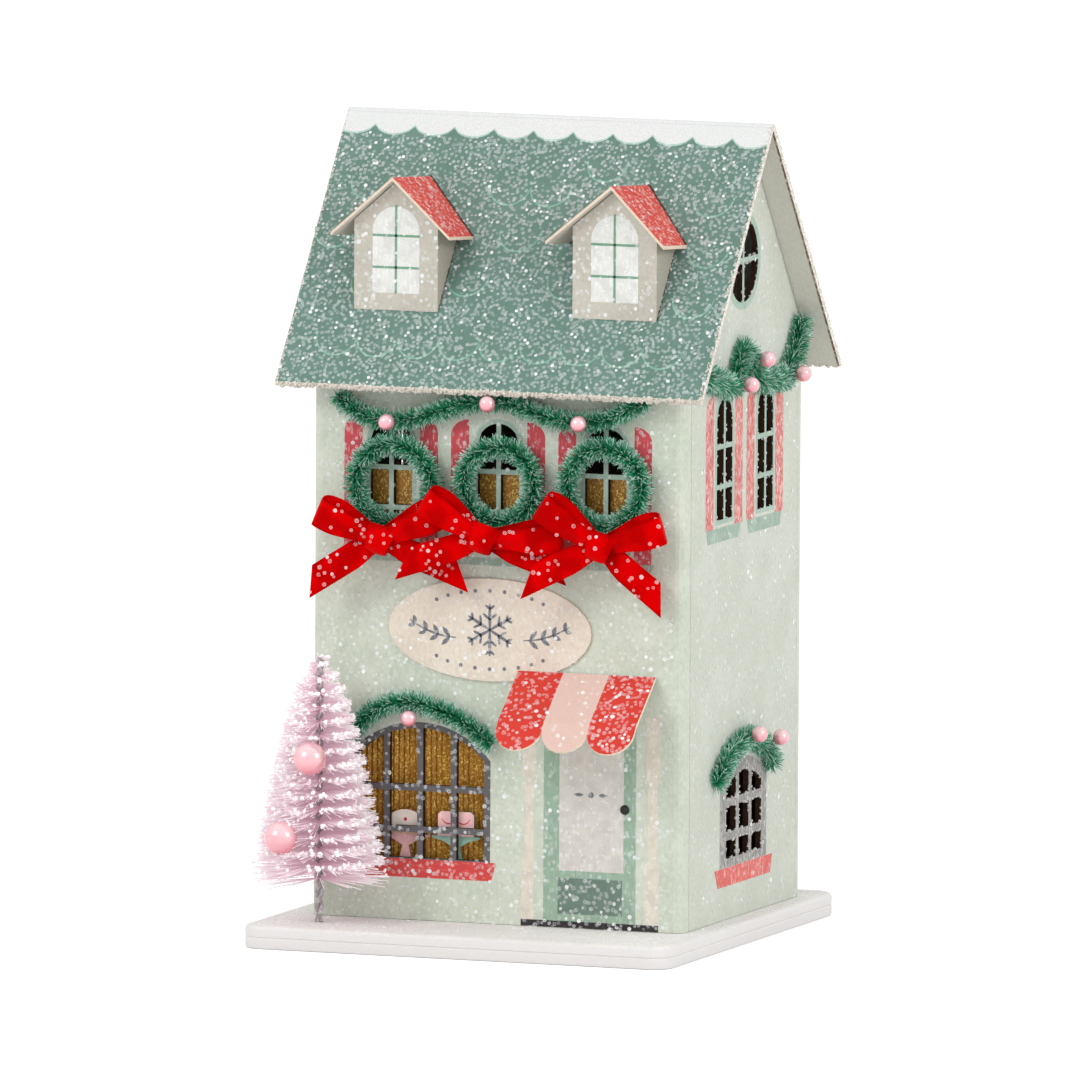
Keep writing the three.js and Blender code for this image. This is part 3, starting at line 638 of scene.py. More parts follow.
@dataclass(frozen=True)
class Satin:
    """Red satin ribbon, woven across, with a line of stitches along each edge, and painted shade in soft
    patches for its folds.
    """

    name: str = "red_satin_weave"
    colour: Colour = (0.83, 0.0, 0.01)
    deep: Colour = (0.54, 0.0, 0.0)
    half_width: float = 3.3

    def build(self) -> Material:
        """Makes the material.

        Returns:
            The material.
        """
        box = Paintbox(self.name)
        flat = box.add("ShaderNodeTexCoord").outputs["UV"]
        along = box.axis(flat, "X")
        across = box.axis(flat, "Y")
        threads = box.math("SINE", box.times(along, 2 * math.pi / 0.22))
        weft = box.math("SINE", box.times(across, 2 * math.pi / 0.3))
        weave = box.times(threads, weft)
        from_edge = box.math("SUBTRACT", self.half_width, box.math("ABSOLUTE", across))
        hem = box.step(from_edge, 0.55, 0.35)
        stitch = box.step(box.math("SINE", box.times(along, 2 * math.pi / 0.7)), 0.0, 0.5)
        dark = box.times(box.times(hem, stitch), 0.6)
        # Painted shade of the ribbon's folds: soft darker patches from cloudy noise.
        crease = box.noise(box.place(), 0.16, 1)
        colour = box.blend(box.times(box.step(crease, 0.6, 0.35), 0.5), self.colour, self.deep)
        colour = box.blend(dark, colour, self.deep)
        height = box.math("ADD", box.times(weave, 0.25), hem)
        bump = box.bump(height, 0.05, 0.5)
        return box.finish(
            Base_Color=colour, Roughness=0.45, Specular_IOR_Level=0.12, Specular_Tint=(1.0, 0.1, 0.1),
            Normal=bump
        )


@dataclass(frozen=True)
class Pearl:
    """A pink pearl bead with milky swirls and a painted sheen: paler on top and in the middle, deeper pink at
    the rim.
    """

    name: str = "pink_pearl"
    colour: Colour = (0.90, 0.45, 0.51)
    milk_and_painted_light: Colour = (0.98, 0.82, 0.84)

    def build(self) -> Material:
        """Makes the material.

        Returns:
            The material.
        """
        box = Paintbox(self.name)
        # Painted light: the bead is paler towards its top and in its middle seen straight on, and deeper pink
        # at its rim. The swirl noise adds milky streaks.
        swirl = box.noise(box.place(), 0.35, 2, 0.5)
        edge = box.add("ShaderNodeLayerWeight", {"Blend": 0.5}).outputs["Facing"]
        normal = box.add("ShaderNodeNewGeometry").outputs["Normal"]
        lit = box.math("ADD", box.axis(normal, "Z"), box.times(swirl, 0.9))
        colour = box.blend(box.step(lit, -0.8, 1.5), self.colour, self.milk_and_painted_light)
        colour = box.blend(box.times(box.step(edge, 0.25, 0.9), 0.75), colour, self.colour)
        bump = box.bump(swirl, 0.03, 0.3)
        return box.finish(
            Base_Color=colour, Roughness=0.28, Metallic=0.25, Coat_Weight=1.0, Coat_Roughness=0.16,
            Coat_IOR=2.0, Normal=bump
        )


@dataclass(frozen=True)
class Wire:
    """Dull dark steel wire."""

    name: str = "dark_wire"
    colour: Colour = (0.80, 0.78, 0.78)
    deep: Colour = (0.58, 0.55, 0.56)

    def build(self) -> Material:
        """Makes the material.

        Returns:
            The material.
        """
        box = Paintbox(self.name)
        wear = box.noise(box.place(), 1.5, 3, 0.6)
        colour = box.blend(box.step(wear, 0.35, 0.7), self.deep, self.colour)
        bump = box.bump(wear, 0.05, 0.5)
        return box.finish(Base_Color=colour, Roughness=0.5, Metallic=0.15, Normal=bump)


@dataclass(frozen=True)
class Face:
    """A flat face of the house with two directions of its own.

    Attributes:
        origin: Where both directions start.
        across: First direction.
        up: Second direction.
        outward: Direction that the face looks.
    """

    origin: Vector
    across: Vector
    up: Vector
    outward: Vector

    def at(self, across: float, up: float, lift: float = 0.0) -> Vector:
        """The point at those distances, lifted off the face."""
        return self.origin + self.across * across + self.up * up + self.outward * lift


X = Vector((1, 0, 0))
Y = Vector((0, 1, 0))
Z = Vector((0, 0, 1))
FRONT = Face(Vector((0, FRONT_Y, 0)), X, Z, -Y)
BACK = Face(Vector((0, BACK_Y, 0)), X, Z, Y)
RIGHT = Face(Vector((RIGHT_X, 0, 0)), Y, Z, X)
LEFT = Face(Vector((LEFT_X, 0, 0)), Y, Z, -X)
RIDGE = Vector((0, RIDGE_Y, RIDGE_PEAK))
ROOF_FRONT, ROOF_BACK = (
    Face(
        RIDGE, X, Vector((0, side * math.cos(ROOF_PITCH), -math.sin(ROOF_PITCH))),
        Vector((0, side * math.sin(ROOF_PITCH), math.cos(ROOF_PITCH))),
    )
    for side in (-1, 1)
)


def rect(left: float, right: float, low: float, high: float) -> list[Point]:
    """The corners of a rectangle, anticlockwise."""
    return [(left, low), (right, low), (right, high), (left, high)]


def trapezoid(ends: Ends, low: float, high: float, middle: float = 0.0) -> list[Point]:
    """The corners of a trapezoid, anticlockwise.

    Args:
        ends: Its corners from a middle: lower left, lower right, upper right, upper left.
        low: Foot.
        high: Top.
        middle: The middle.

    Returns:
        The four corners.
    """
    a, b, c, d = (middle + end for end in ends)
    return [(a, low), (b, low), (c, high), (d, high)]


def arc(centre: Point, radius: float, start: float, end: float, steps: int) -> list[Point]:
    """Points along an arc.

    Args:
        centre: The arc's centre.
        radius: Its radius.
        start: First angle in degrees.
        end: Last angle in degrees.
        steps: Stretches between the points.

    Returns:
        steps + 1 points.
    """
    angles = [math.radians(start + (end - start) * i / steps) for i in range(steps + 1)]
    return [(centre[0] + radius * math.cos(a), centre[1] + radius * math.sin(a)) for a in angles]


def arched(left: float, right: float, low: float, top: float, radius: float) -> list[Point]:
    """A window's outline: straight sides under part of a circle.

    Args:
        left: Left side.
        right: Right side.
        low: Foot.
        top: Top of the arch.
        radius: Radius of the arch, at least half the width.

    Returns:
        Points, anticlockwise.
    """
    half = (right - left) / 2
    angle = math.degrees(math.acos(min(1.0, half / radius)))
    head = arc(((left + right) / 2, top - radius), radius, angle, 180 - angle, 20)
    return [(left, low), (right, low), *head]


def shutter(left: float, right: float, low: float, high: float, outer: int) -> list[Point]:
    """A shutter whose top is a quarter circle, its high side being the outer one.

    Args:
        left: Left side.
        right: Right side.
        low: Foot.
        high: Top at the outer side.
        outer: 1 where the high side is at the left, -1 at the right.

    Returns:
        Points, anticlockwise.
    """
    width = right - left
    drop = width * 0.83
    if outer > 0:
        head = arc((left, high - drop), width, 0, 90, 8)
    else:
        head = arc((right, high - drop), width, 90, 180, 8)
    head = [(x, high - drop + (z - (high - drop)) * drop / width) for x, z in head]
    return [(left, low), (right, low), *head]


def oval(centre: Point, wide: float, tall: float, steps: int = 48) -> list[Point]:
    """An ellipse's points from its full width and height."""
    turns = [2 * math.pi * i / steps for i in range(steps)]
    return [(centre[0] + wide / 2 * math.cos(t), centre[1] + tall / 2 * math.sin(t)) for t in turns]


def stroke(line: Sequence[Point], width: float) -> list[Point]:
    """The outline of a brush stroke that narrows at both ends.

    Args:
        line: Points along the middle of the stroke.
        width: Width at the middle.

    Returns:
        The outline's points.
    """
    left: list[Point] = []
    right: list[Point] = []
    last = len(line) - 1
    for i, (x, y) in enumerate(line):
        before = Vector(line[max(i - 1, 0)])
        after = Vector(line[min(i + 1, last)])
        along = (after - before).normalized()
        half = width / 2 * (0.35 + 0.65 * math.sin(math.pi * (0.08 + 0.84 * i / last)))
        left.append((x - along.y * half, y + along.x * half))
        right.append((x + along.y * half, y - along.x * half))
    return left + right[::-1]


def leaf(base: Point, angle: float, length: float, width: float) -> list[Point]:
    """The outline of a pointed leaf.

    Args:
        base: Where it grows from.
        angle: Its direction in degrees.
        length: Its length.
        width: Its width.

    Returns:
        Points, anticlockwise.
    """
    along = Vector((math.cos(math.radians(angle)), math.sin(math.radians(angle))))
    across = Vector((-along.y, along.x))
    outline: list[Point] = []
    for side in (-1, 1):
        for k in range(8):
            share = k / 8 if side < 0 else 1 - k / 8
            swell = side * math.sin(math.pi * share) * width / 2
            point = Vector(base) + along * length * share + across * swell
            outline.append((point.x, point.y))
    return outline


def ray(start: Point, angle: float, length: float) -> list[Point]:
    """Points along a straight line, which they divide in five.

    Args:
        start: First point.
        angle: Direction in degrees.
        length: Length of the line.

    Returns:
        The six points.
    """
    turn = math.radians(angle)
    reaches = [length * k / 5 for k in range(6)]
    return [(start[0] + reach * math.cos(turn), start[1] + reach * math.sin(turn)) for reach in reaches]


# How finely round bodies are divided, and how deep a thin plate sits in what it lies on
TUBE_SIDES = 8
TURNED_SIDES = 32
SINK = 0.02


class Form:
    """Collects the points and faces of one piece, in millimetres."""

    def __init__(self) -> None:
        """Starts empty."""
        self.points: list[Vector] = []
        self.faces: list[list[int]] = []
        self.flat: list[Point] = []

    def add(
        self, points: Sequence[Vector], faces: Iterable[Sequence[int]], flat: Sequence[Point] = ()
    ) -> None:
        """Adds points with the faces between them.

        Args:
            points: The new points.
            faces: Faces, by number among the new points.
            flat: The points' places on the unrolled cloth, where it has a weave.
        """
        start = len(self.points)
        self.points.extend(points)
        self.faces.extend([start + i for i in f] for f in faces)
        self.flat.extend(flat or [(0.0, 0.0)] * len(points))

    def loft(self, rings: Sequence[list[Vector]]) -> None:
        """Adds a closed body through rings of points, with a flat face at each end.

        Args:
            rings: The rings, which all have as many points.
        """
        count = len(rings[0])
        last = (len(rings) - 1) * count
        faces: list[Sequence[int]] = []
        for start in range(0, last, count):
            for i in range(count):
                a, b = start + i, start + (i + 1) % count
                faces.append((a, b, b + count, a + count))
        self.add(sum(rings, []), [*faces, range(count)[::-1], range(last, last + count)])

    def plate(self, face: Face, outline: Sequence[Point], top: float) -> None:
        """Adds a thin closed plate.

        Args:
            face: The face that it lies on.
            outline: Its corners across the face and up it.
            top: Height of its upper side over the face.
        """
        corners = [Vector((a, b, 0)) for a, b in outline]
        points = [face.at(c.x, c.y, lift) for lift in (-SINK, top) for c in corners]
        count = len(corners)
        faces: list[Sequence[int]] = []
        for a, b, c in tessellate_polygon([corners]):
            faces += [(a, b, c), (c + count, b + count, a + count)]
        for a in range(count):
            b = (a + 1) % count
            faces.append((a, b, b + count, a + count))
        self.add(points, faces)

    def skin(self, patch: BMesh, outward: Vector, top: float) -> None:
        """Adds a thin closed plate over a patch of a solid's own faces.

        Args:
            patch: The patch, in millimetres; it is freed.
            outward: Direction that it faces.
            top: Height of the plate's upper side over the patch.
        """
        patch.verts.index_update()
        count = len(patch.verts)
        points = [v.co - outward * SINK for v in patch.verts]
        points += [v.co + outward * top for v in patch.verts]
        faces: list[Sequence[int]] = []
        for f in patch.faces:
            numbers = [v.index for v in f.verts]
            faces.append([n + count for n in numbers])
            faces.append(numbers[::-1])
        for edge in patch.edges:
            if edge.is_boundary:
                a, b = (v.index for v in edge.verts)
                faces.append((a, b, b + count, a + count))
        patch.free()
        self.add(points, faces)

    def slab(self, grid: Sequence[Sequence[Vector]], thickness: float, width: float = 1.0) -> None:
        """Adds a closed sheet over a grid of points.

        Args:
            grid: Rows of points along the sheet's length.
            thickness: How thick the sheet is.
            width: Width of its rows, for the weave's places.
        """
        rows, columns = len(grid), len(grid[0])
        tops: list[Vector] = []
        bottoms: list[Vector] = []
        flat: list[Point] = []
        travelled = 0.0
        for i, row in enumerate(grid):
            if i:
                middle = columns // 2
                travelled += (row[middle] - grid[i - 1][middle]).length
            for j, point in enumerate(row):
                along = grid[min(i + 1, rows - 1)][j] - grid[max(i - 1, 0)][j]
                across = row[min(j + 1, columns - 1)] - row[max(j - 1, 0)]
                normal = along.cross(across).normalized()
                tops.append(point + normal * thickness / 2)
                bottoms.append(point - normal * thickness / 2)
                flat.append((travelled, (j / (columns - 1) - 0.5) * width))
        count = rows * columns
        faces: list[Sequence[int]] = []
        for i in range(rows - 1):
            for j in range(columns - 1):
                a = i * columns + j
                quad = (a, a + 1, a + columns + 1, a + columns)
                faces.append(quad)
                faces.append([n + count for n in quad[::-1]])
        rim = list(range(columns))
        rim += [i * columns + columns - 1 for i in range(1, rows)]
        rim += [(rows - 1) * columns + j for j in range(columns - 2, -1, -1)]
        rim += [i * columns for i in range(rows - 2, 0, -1)]
        for a, b in zip(rim, rim[1:] + rim[:1]):
            faces.append((b, a, a + count, b + count))
        self.add(tops + bottoms, faces, flat + flat)

    def tube(self, path: Sequence[Vector], radius: float) -> None:
        """Adds a closed round bar along a path.

        Args:
            path: Points along its middle.
            radius: Its radius.
        """
        rings: list[list[Vector]] = []
        side = X
        last = len(path) - 1
        turns = [2 * math.pi * k / TUBE_SIDES for k in range(TUBE_SIDES)]
        for i, centre in enumerate(path):
            along = (path[min(i + 1, last)] - path[max(i - 1, 0)]).normalized()
            side = (side - along * side.dot(along)).normalized()
            other = along.cross(side)
            rings.append([centre + side * radius * math.cos(t) + other * radius * math.sin(t) for t in turns])
        self.loft(rings)

    def lathe(self, profile: Sequence[Point], foot: Vector, axis: Vector) -> None:
        """Adds a turned body.

        Args:
            profile: Radius and height from one end on the axis to the other.
            foot: Where the heights start.
            axis: Direction of the axis.
        """
        side = axis.orthogonal().normalized()
        other = axis.cross(side)
        sides = TURNED_SIDES
        inner = profile[1:-1]
        points = [foot + axis * profile[0][1]]
        for radius, height in inner:
            for k in range(sides):
                turn = 2 * math.pi * k / sides
                spoke = side * math.cos(turn) + other * math.sin(turn)
                points.append(foot + axis * height + spoke * radius)
        points.append(foot + axis * profile[-1][1])
        faces: list[Sequence[int]] = []
        end = len(points) - 1
        for k in range(sides):
            n = (k + 1) % sides
            faces.append((0, 1 + n, 1 + k))
            for i in range(len(inner) - 1):
                a = 1 + i * sides
                faces.append((a + k, a + n, a + sides + n, a + sides + k))
            ring = 1 + (len(inner) - 1) * sides
            faces.append((ring + k, ring + n, end))
        self.add(points, faces)

    def mesh(self, name: str, smooth: float | None = None) -> Mesh:
        """The mesh in metres, its faces outward.

        Args:
            name: The mesh's name.
            smooth: Sharpest angle in degrees that is still shaded smooth.

        Returns:
            The mesh.
        """
        mesh = bpy.data.meshes.new(name)
        mesh.from_pydata([p * MM for p in self.points], [], self.faces)
        layer = mesh.uv_layers.new(name="flat")
        for loop in mesh.loops:
            layer.data[loop.index].uv = self.flat[loop.vertex_index]
        shaped = bmesh.new()
        shaped.from_mesh(mesh)
        bmesh.ops.recalc_face_normals(shaped, faces=shaped.faces)
        shaped.to_mesh(mesh)
        shaped.free()
        if smooth is not None:
            mesh.shade_smooth()
            mesh.set_sharp_from_angle(angle=math.radians(smooth))
        return mesh


# Limits when faces of the solids are picked and joined
WELD_DISTANCE = 0.001
SQUARE_ON = 0.999
IN_PLANE = 0.05


def solid_faces(node: str) -> BMesh:
    """A copy of a solid's faces, in millimetres.

    Args:
        node: The solid.

    Returns:
        The patch.
    """
    patch = bmesh.new()
    patch.from_mesh(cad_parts[node].data)
    bmesh.ops.scale(patch, vec=(1 / MM,) * 3, verts=patch.verts)
    bmesh.ops.remove_doubles(patch, verts=patch.verts, dist=WELD_DISTANCE)
    return patch


def only(patch: BMesh, wanted: Callable[[bmesh.types.BMFace], bool]) -> BMesh:
    """Deletes the faces of a patch that aren't wanted.

    Args:
        patch: The patch.
        wanted: Tells whether a face stays.

    Returns:
        The same patch.
    """
    away = [f for f in patch.faces if not wanted(f)]
    bmesh.ops.delete(patch, geom=away, context="FACES")
    return patch


def outer_faces(node: str, face: Face) -> BMesh:
    """A copy of a solid's faces that lie in a face of the house, in millimetres.

    Args:
        node: The solid.
        face: The face to keep.

    Returns:
        The patch.
    """
    return only(solid_faces(node), lambda f: (
        f.normal.dot(face.outward) >= SQUARE_ON
        and abs((f.calc_center_median() - face.origin).dot(face.outward)) <= IN_PLANE
    ))


def towards(node: str, aim: Sequence[float], least: float, most: float = 2.0) -> BMesh:
    """A copy of a solid's faces that look some way, in millimetres.

    Args:
        node: The solid.
        aim: The direction.
        least: Smallest cosine between a face's normal and the direction.
        most: Largest one.

    Returns:
        The patch.
    """
    aimed = Vector(aim).normalized()
    return only(solid_faces(node), lambda f: least < f.normal.dot(aimed) < most)


def in_metres(name: str, patch: BMesh) -> Mesh:
    """Turns a patch in millimetres into a mesh, and frees it.

    Args:
        name: The mesh's name.
        patch: The patch.

    Returns:
        The mesh.
    """
    bmesh.ops.scale(patch, vec=(MM,) * 3, verts=patch.verts)
    mesh = bpy.data.meshes.new(name)
    patch.to_mesh(mesh)
    patch.free()
    return mesh


def cut(patch: BMesh, point: Vector, away: Vector) -> None:
    """Cuts off what lies past a point in one direction."""
    geometry = [*patch.verts, *patch.edges, *patch.faces]
    bmesh.ops.bisect_plane(patch, geom=geometry, plane_co=point, plane_no=away, clear_outer=True)


def sprinkle(patch: BMesh, density: float, seed: int) -> tuple[list[Vector], list[Vector]]:
    """Random points on a patch.

    Args:
        patch: The patch, in millimetres; it is freed.
        density: Points in a square millimetre.
        seed: Seed of the draw.

    Returns:
        The points and the normals there.
    """
    chance = random.Random(seed)
    places: list[Vector] = []
    normals: list[Vector] = []
    bmesh.ops.triangulate(patch, faces=patch.faces)
    for f in patch.faces:
        wanted = f.calc_area() * density
        a, b, c = (v.co.copy() for v in f.verts)
        for _ in range(int(wanted + chance.random())):
            u, v = sorted((chance.random(), chance.random()))
            places.append(a * u + b * (v - u) + c * (1 - v))
            normals.append(f.normal.copy())
    patch.free()
    return places, normals


def rim(patch: BMesh, face: Face, box: Box, density: float, seed: int) -> list[Vector]:
    """Random points along the edges of the holes in a patch.

    Args:
        patch: The patch, in millimetres; it is freed.
        face: The face that it lies in.
        box: Left, right, low and high sides of the part to use.
        density: Points in a millimetre.
        seed: Seed of the draw.

    Returns:
        The points.
    """
    chance = random.Random(seed)
    places: list[Vector] = []
    for edge in patch.edges:
        a, b = (v.co.copy() for v in edge.verts)
        middle = (a + b) / 2 - face.origin
        across, up = middle.dot(face.across), middle.dot(face.up)
        if not edge.is_boundary or not (box[0] < across < box[1] and box[2] < up < box[3]):
            continue
        for _ in range(int((b - a).length * density + chance.random())):
            places.append(a.lerp(b, chance.random()) + face.up * chance.uniform(-0.25, 0.35))
    patch.free()
    return places


def trimmed(node: str, face: Face, outline: Sequence[Point]) -> BMesh:
    """The part of a solid's flat face inside an outline that has no hollows.

    Args:
        node: The solid.
        face: The face.
        outline: Points, anticlockwise in the face's two directions.

    Returns:
        The patch, with the solid's own holes in it.
    """
    patch = outer_faces(node, face)
    for (a, b), (c, d) in zip(outline, [*outline[1:], outline[0]]):
        if math.hypot(c - a, d - b) > 1e-6:
            cut(patch, face.at(a, b), (face.across * (d - b) - face.up * (c - a)).normalized())
    return patch


class Recipe(Wiring):
    """A geometry node tree with named inputs that makes plain mesh of one finish.

    Attributes:
        numbers: Names of the inputs that take a number.
        counts: Names of the inputs that take a whole number.
    """

    numbers: tuple[str, ...] = ()
    counts: tuple[str, ...] = ("Seed",)

    def __init__(self, name: str, material: Material) -> None:
        """Builds the tree.

        Args:
            name: The tree's name.
            material: The finish of what it makes.
        """
        super().__init__(bpy.data.node_groups.new(name, "GeometryNodeTree"))
        sockets = self.tree.interface
        sockets.new_socket("Geometry", in_out="INPUT", socket_type="NodeSocketGeometry")
        kinds = [(label, "NodeSocketFloat") for label in self.numbers]
        kinds += [(label, "NodeSocketInt") for label in self.counts]
        self.keys = {
            label: sockets.new_socket(label, in_out="INPUT", socket_type=kind).identifier
            for label, kind in kinds
        }
        sockets.new_socket("Geometry", in_out="OUTPUT", socket_type="NodeSocketGeometry")
        self.given = self.add("NodeGroupInput").outputs
        real = self.add("GeometryNodeRealizeInstances", {"Geometry": self.grow()}).outputs[0]
        painted = self.add("GeometryNodeSetMaterial", {"Geometry": real, "Material": material})
        self.add("NodeGroupOutput", {0: painted.outputs[0]})

    def grow(self) -> Socket:
        """Adds the nodes of one kind of recipe and returns its geometry."""
        raise NotImplementedError

    def chance(self, low: Any, high: Any, seed: Any) -> Socket:
        """A random number for each element.

        Args:
            low: Least value.
            high: Largest value.
            seed: Seed of the draw.

        Returns:
            The number's socket.
        """
        inputs = {"Min": low, "Max": high, "Seed": seed}
        node = self.add("FunctionNodeRandomValue", data_type="FLOAT")
        for socket in node.inputs:
            if socket.enabled and socket.name in inputs:
                self.feed(socket, inputs[socket.name])
        return next(s for s in node.outputs if s.enabled)

    def stored(self, geometry: Socket, name: str, value: Any, domain: str, kind: str = "FLOAT") -> Socket:
        """Stores a value under a name that the material reads.

        Args:
            geometry: What carries it.
            name: The name.
            value: The value or its socket.
            domain: The kind of element that it belongs to.
            kind: Its data type.

        Returns:
            The geometry.
        """
        inputs = {"Geometry": geometry, "Name": name}
        node = self.add("GeometryNodeStoreNamedAttribute", inputs, data_type=kind, domain=domain)
        self.feed(next(s for s in node.inputs if s.name == "Value" and s.enabled), value)
        return node.outputs["Geometry"]

    def position(self) -> Socket:
        """Where each element is."""
        return self.add("GeometryNodeInputPosition").outputs[0]

    def hair(self, root: Socket, taper: Any, length: Any) -> Socket:
        """A three-sided hair that stores how far along it each point lies.

        Args:
            root: Radius at its root.
            taper: Radius at its tip as a share of that.
            length: Its length.

        Returns:
            Its geometry.
        """
        cone = self.add("GeometryNodeMeshCone", {
            "Vertices": 3, "Radius Top": self.times(root, taper), "Radius Bottom": root, "Depth": length,
        }).outputs["Mesh"]
        share = self.math("DIVIDE", self.axis(self.position(), "Z"), length)
        return self.stored(cone, "tip", share, "POINT")

    def aligned(self, aim: Socket) -> Socket:
        """The rotation that turns Z into a direction."""
        return self.add("FunctionNodeAlignRotationToVector", {"Vector": aim}, axis="Z").outputs[0]

    def loose_points(self) -> Socket:
        """The points of the mesh that the recipe is given."""
        return self.add("GeometryNodeMeshToPoints", {"Mesh": self.given["Geometry"]}).outputs[0]

    def instances(self, points: Socket, shape: Socket, turn: Socket, scale: Socket) -> Socket:
        """Puts a shape on each point."""
        inputs = {"Points": points, "Instance": shape, "Rotation": turn, "Scale": scale}
        return self.add("GeometryNodeInstanceOnPoints", inputs).outputs[0]

    def bake(self, name: str, carrier: Any, values: Mapping[str, Any]) -> Mesh:
        """Runs the tree on a carrier and returns the plain mesh.

        Args:
            name: Name for the mesh.
            carrier: Mesh or curve that the tree reads; it is removed.
            values: Inputs by name.

        Returns:
            The mesh.
        """
        holder = bpy.data.objects.new(f"{name}_carrier", carrier)
        bpy.context.scene.collection.objects.link(holder)
        modifier = holder.modifiers.new("recipe", "NODES")
        modifier.node_group = self.tree
        for label, value in values.items():
            modifier[self.keys[label]] = value
        graph = bpy.context.evaluated_depsgraph_get()
        mesh = bpy.data.meshes.new_from_object(holder.evaluated_get(graph))
        mesh.name = name
        holder.modifiers.remove(modifier)
        bpy.data.objects.remove(holder)
        return mesh


class FlakeScatter(Recipe):
    """Scatters six-sided glitter flakes over a patch, none too close to another."""

    numbers = ("Density", "Size", "Lift", "Tilt", "Dullness")
    spacing = 0.66
    thickness = 0.05 * MM

    def grow(self) -> Socket:
        """Adds the nodes and returns the flakes.

        Returns:
            The geometry.
        """
        given = self.given
        spread = self.add("GeometryNodeDistributePointsOnFaces", {
            "Mesh": given["Geometry"], "Distance Min": self.times(given["Size"], self.spacing),
            "Density Max": given["Density"], "Density Factor": 1.0, "Seed": given["Seed"],
        }, distribute_method="POISSON").outputs
        lift = self.chance(given["Lift"], self.times(given["Lift"], 2.0), 3)
        points = self.add("GeometryNodeSetPosition", {
            "Geometry": spread["Points"], "Offset": self.scaled(spread["Normal"], lift),
        }).outputs[0]
        radius = self.times(given["Size"], 0.5)
        sizes = {"Vertices": 6, "Radius": radius, "Depth": self.thickness}
        disc = self.add("GeometryNodeMeshCylinder", sizes).outputs["Mesh"]
        flat = self.vector("MULTIPLY", self.position(), (1, 1, 0))
        unit = self.scaled(flat, self.math("DIVIDE", 1.0, radius))
        flake = self.stored(disc, "disc", unit, "POINT", "FLOAT_VECTOR")
        size = self.chance(0.7, 1.12, 5)
        placed = self.instances(points, flake, spread["Rotation"], self.xyz(size, size, 1.0))
        low = self.times(given["Tilt"], -1.0)
        tilts = [self.chance(low, given["Tilt"], seed) for seed in (7, 8)]
        turn = self.xyz(*tilts, self.chance(0.0, math.tau, 9))
        inputs = {"Instances": placed, "Rotation": turn, "Local Space": True}
        turned = self.add("GeometryNodeRotateInstances", inputs).outputs[0]
        glint = self.math("POWER", self.chance(0.0, 1.0, 11), given["Dullness"])
        return self.stored(turned, "glint", glint, "INSTANCE")


class BristledStem(Recipe):
    """Stands short bristles all round a curve."""

    numbers = ("Length", "Root", "Lean")
    counts = ("Count", "Seed")
    taper = 0.45

    def grow(self) -> Socket:
        """Adds the nodes and returns the bristles.

        Returns:
            The geometry.
        """
        given = self.given
        stem = {"Curve": given["Geometry"], "Count": given["Count"]}
        line = self.add("GeometryNodeCurveToPoints", stem, mode="COUNT").outputs
        angle = self.chance(0.0, math.tau, given["Seed"])
        inputs = {"Vector": line["Normal"], "Axis": line["Tangent"], "Angle": angle}
        spoke = self.add("ShaderNodeVectorRotate", inputs, rotation_type="AXIS_ANGLE").outputs[0]
        lean = self.chance(self.times(given["Lean"], -1.0), given["Lean"], 4)
        turn = self.aligned(self.vector("ADD", spoke, self.scaled(line["Tangent"], lean)))
        hair = self.hair(given["Root"], self.taper, given["Length"])
        scale = self.xyz(1.0, 1.0, self.chance(0.72, 1.08, 6))
        placed = self.instances(line["Points"], hair, turn, scale)
        return self.stored(placed, "kind", self.chance(0.0, 1.0, 12), "INSTANCE")


class AimedHair(Recipe):
    """Stands one tapered hair on each point, along the point's own aim."""

    numbers = ("Root", "Taper")

    def grow(self) -> Socket:
        """Adds the nodes and returns the hairs.

        Returns:
            The geometry.
        """
        given = self.given
        named = self.add("GeometryNodeInputNamedAttribute", {"Name": "aim"}, data_type="FLOAT_VECTOR")
        aim = named.outputs[0]
        hair = self.hair(given["Root"], given["Taper"], 1.0)
        scale = self.xyz(1.0, 1.0, self.vector("LENGTH", aim, output="Value"))
        placed = self.instances(self.loose_points(), hair, self.aligned(aim), scale)
        return self.stored(placed, "kind", self.chance(0.0, 1.0, given["Seed"]), "INSTANCE")


class Clumps(Recipe):
    """Sets small rough lumps on points, as flock or frost clings to tips."""

    numbers = ("Size",)
    counts = ()

    def grow(self) -> Socket:
        """Adds the nodes and returns the lumps.

        Returns:
            The geometry.
        """
        lump = self.add("GeometryNodeMeshIcoSphere", {"Radius": self.given["Size"], "Subdivisions": 1})
        scale = self.xyz(self.chance(0.5, 1.3, 2), self.chance(0.5, 1.3, 3), self.chance(0.4, 1.0, 4))
        turn = self.xyz(*[self.chance(0.0, math.tau, seed) for seed in (5, 6, 7)])
        return self.instances(self.loose_points(), lump.outputs[0], turn, scale)


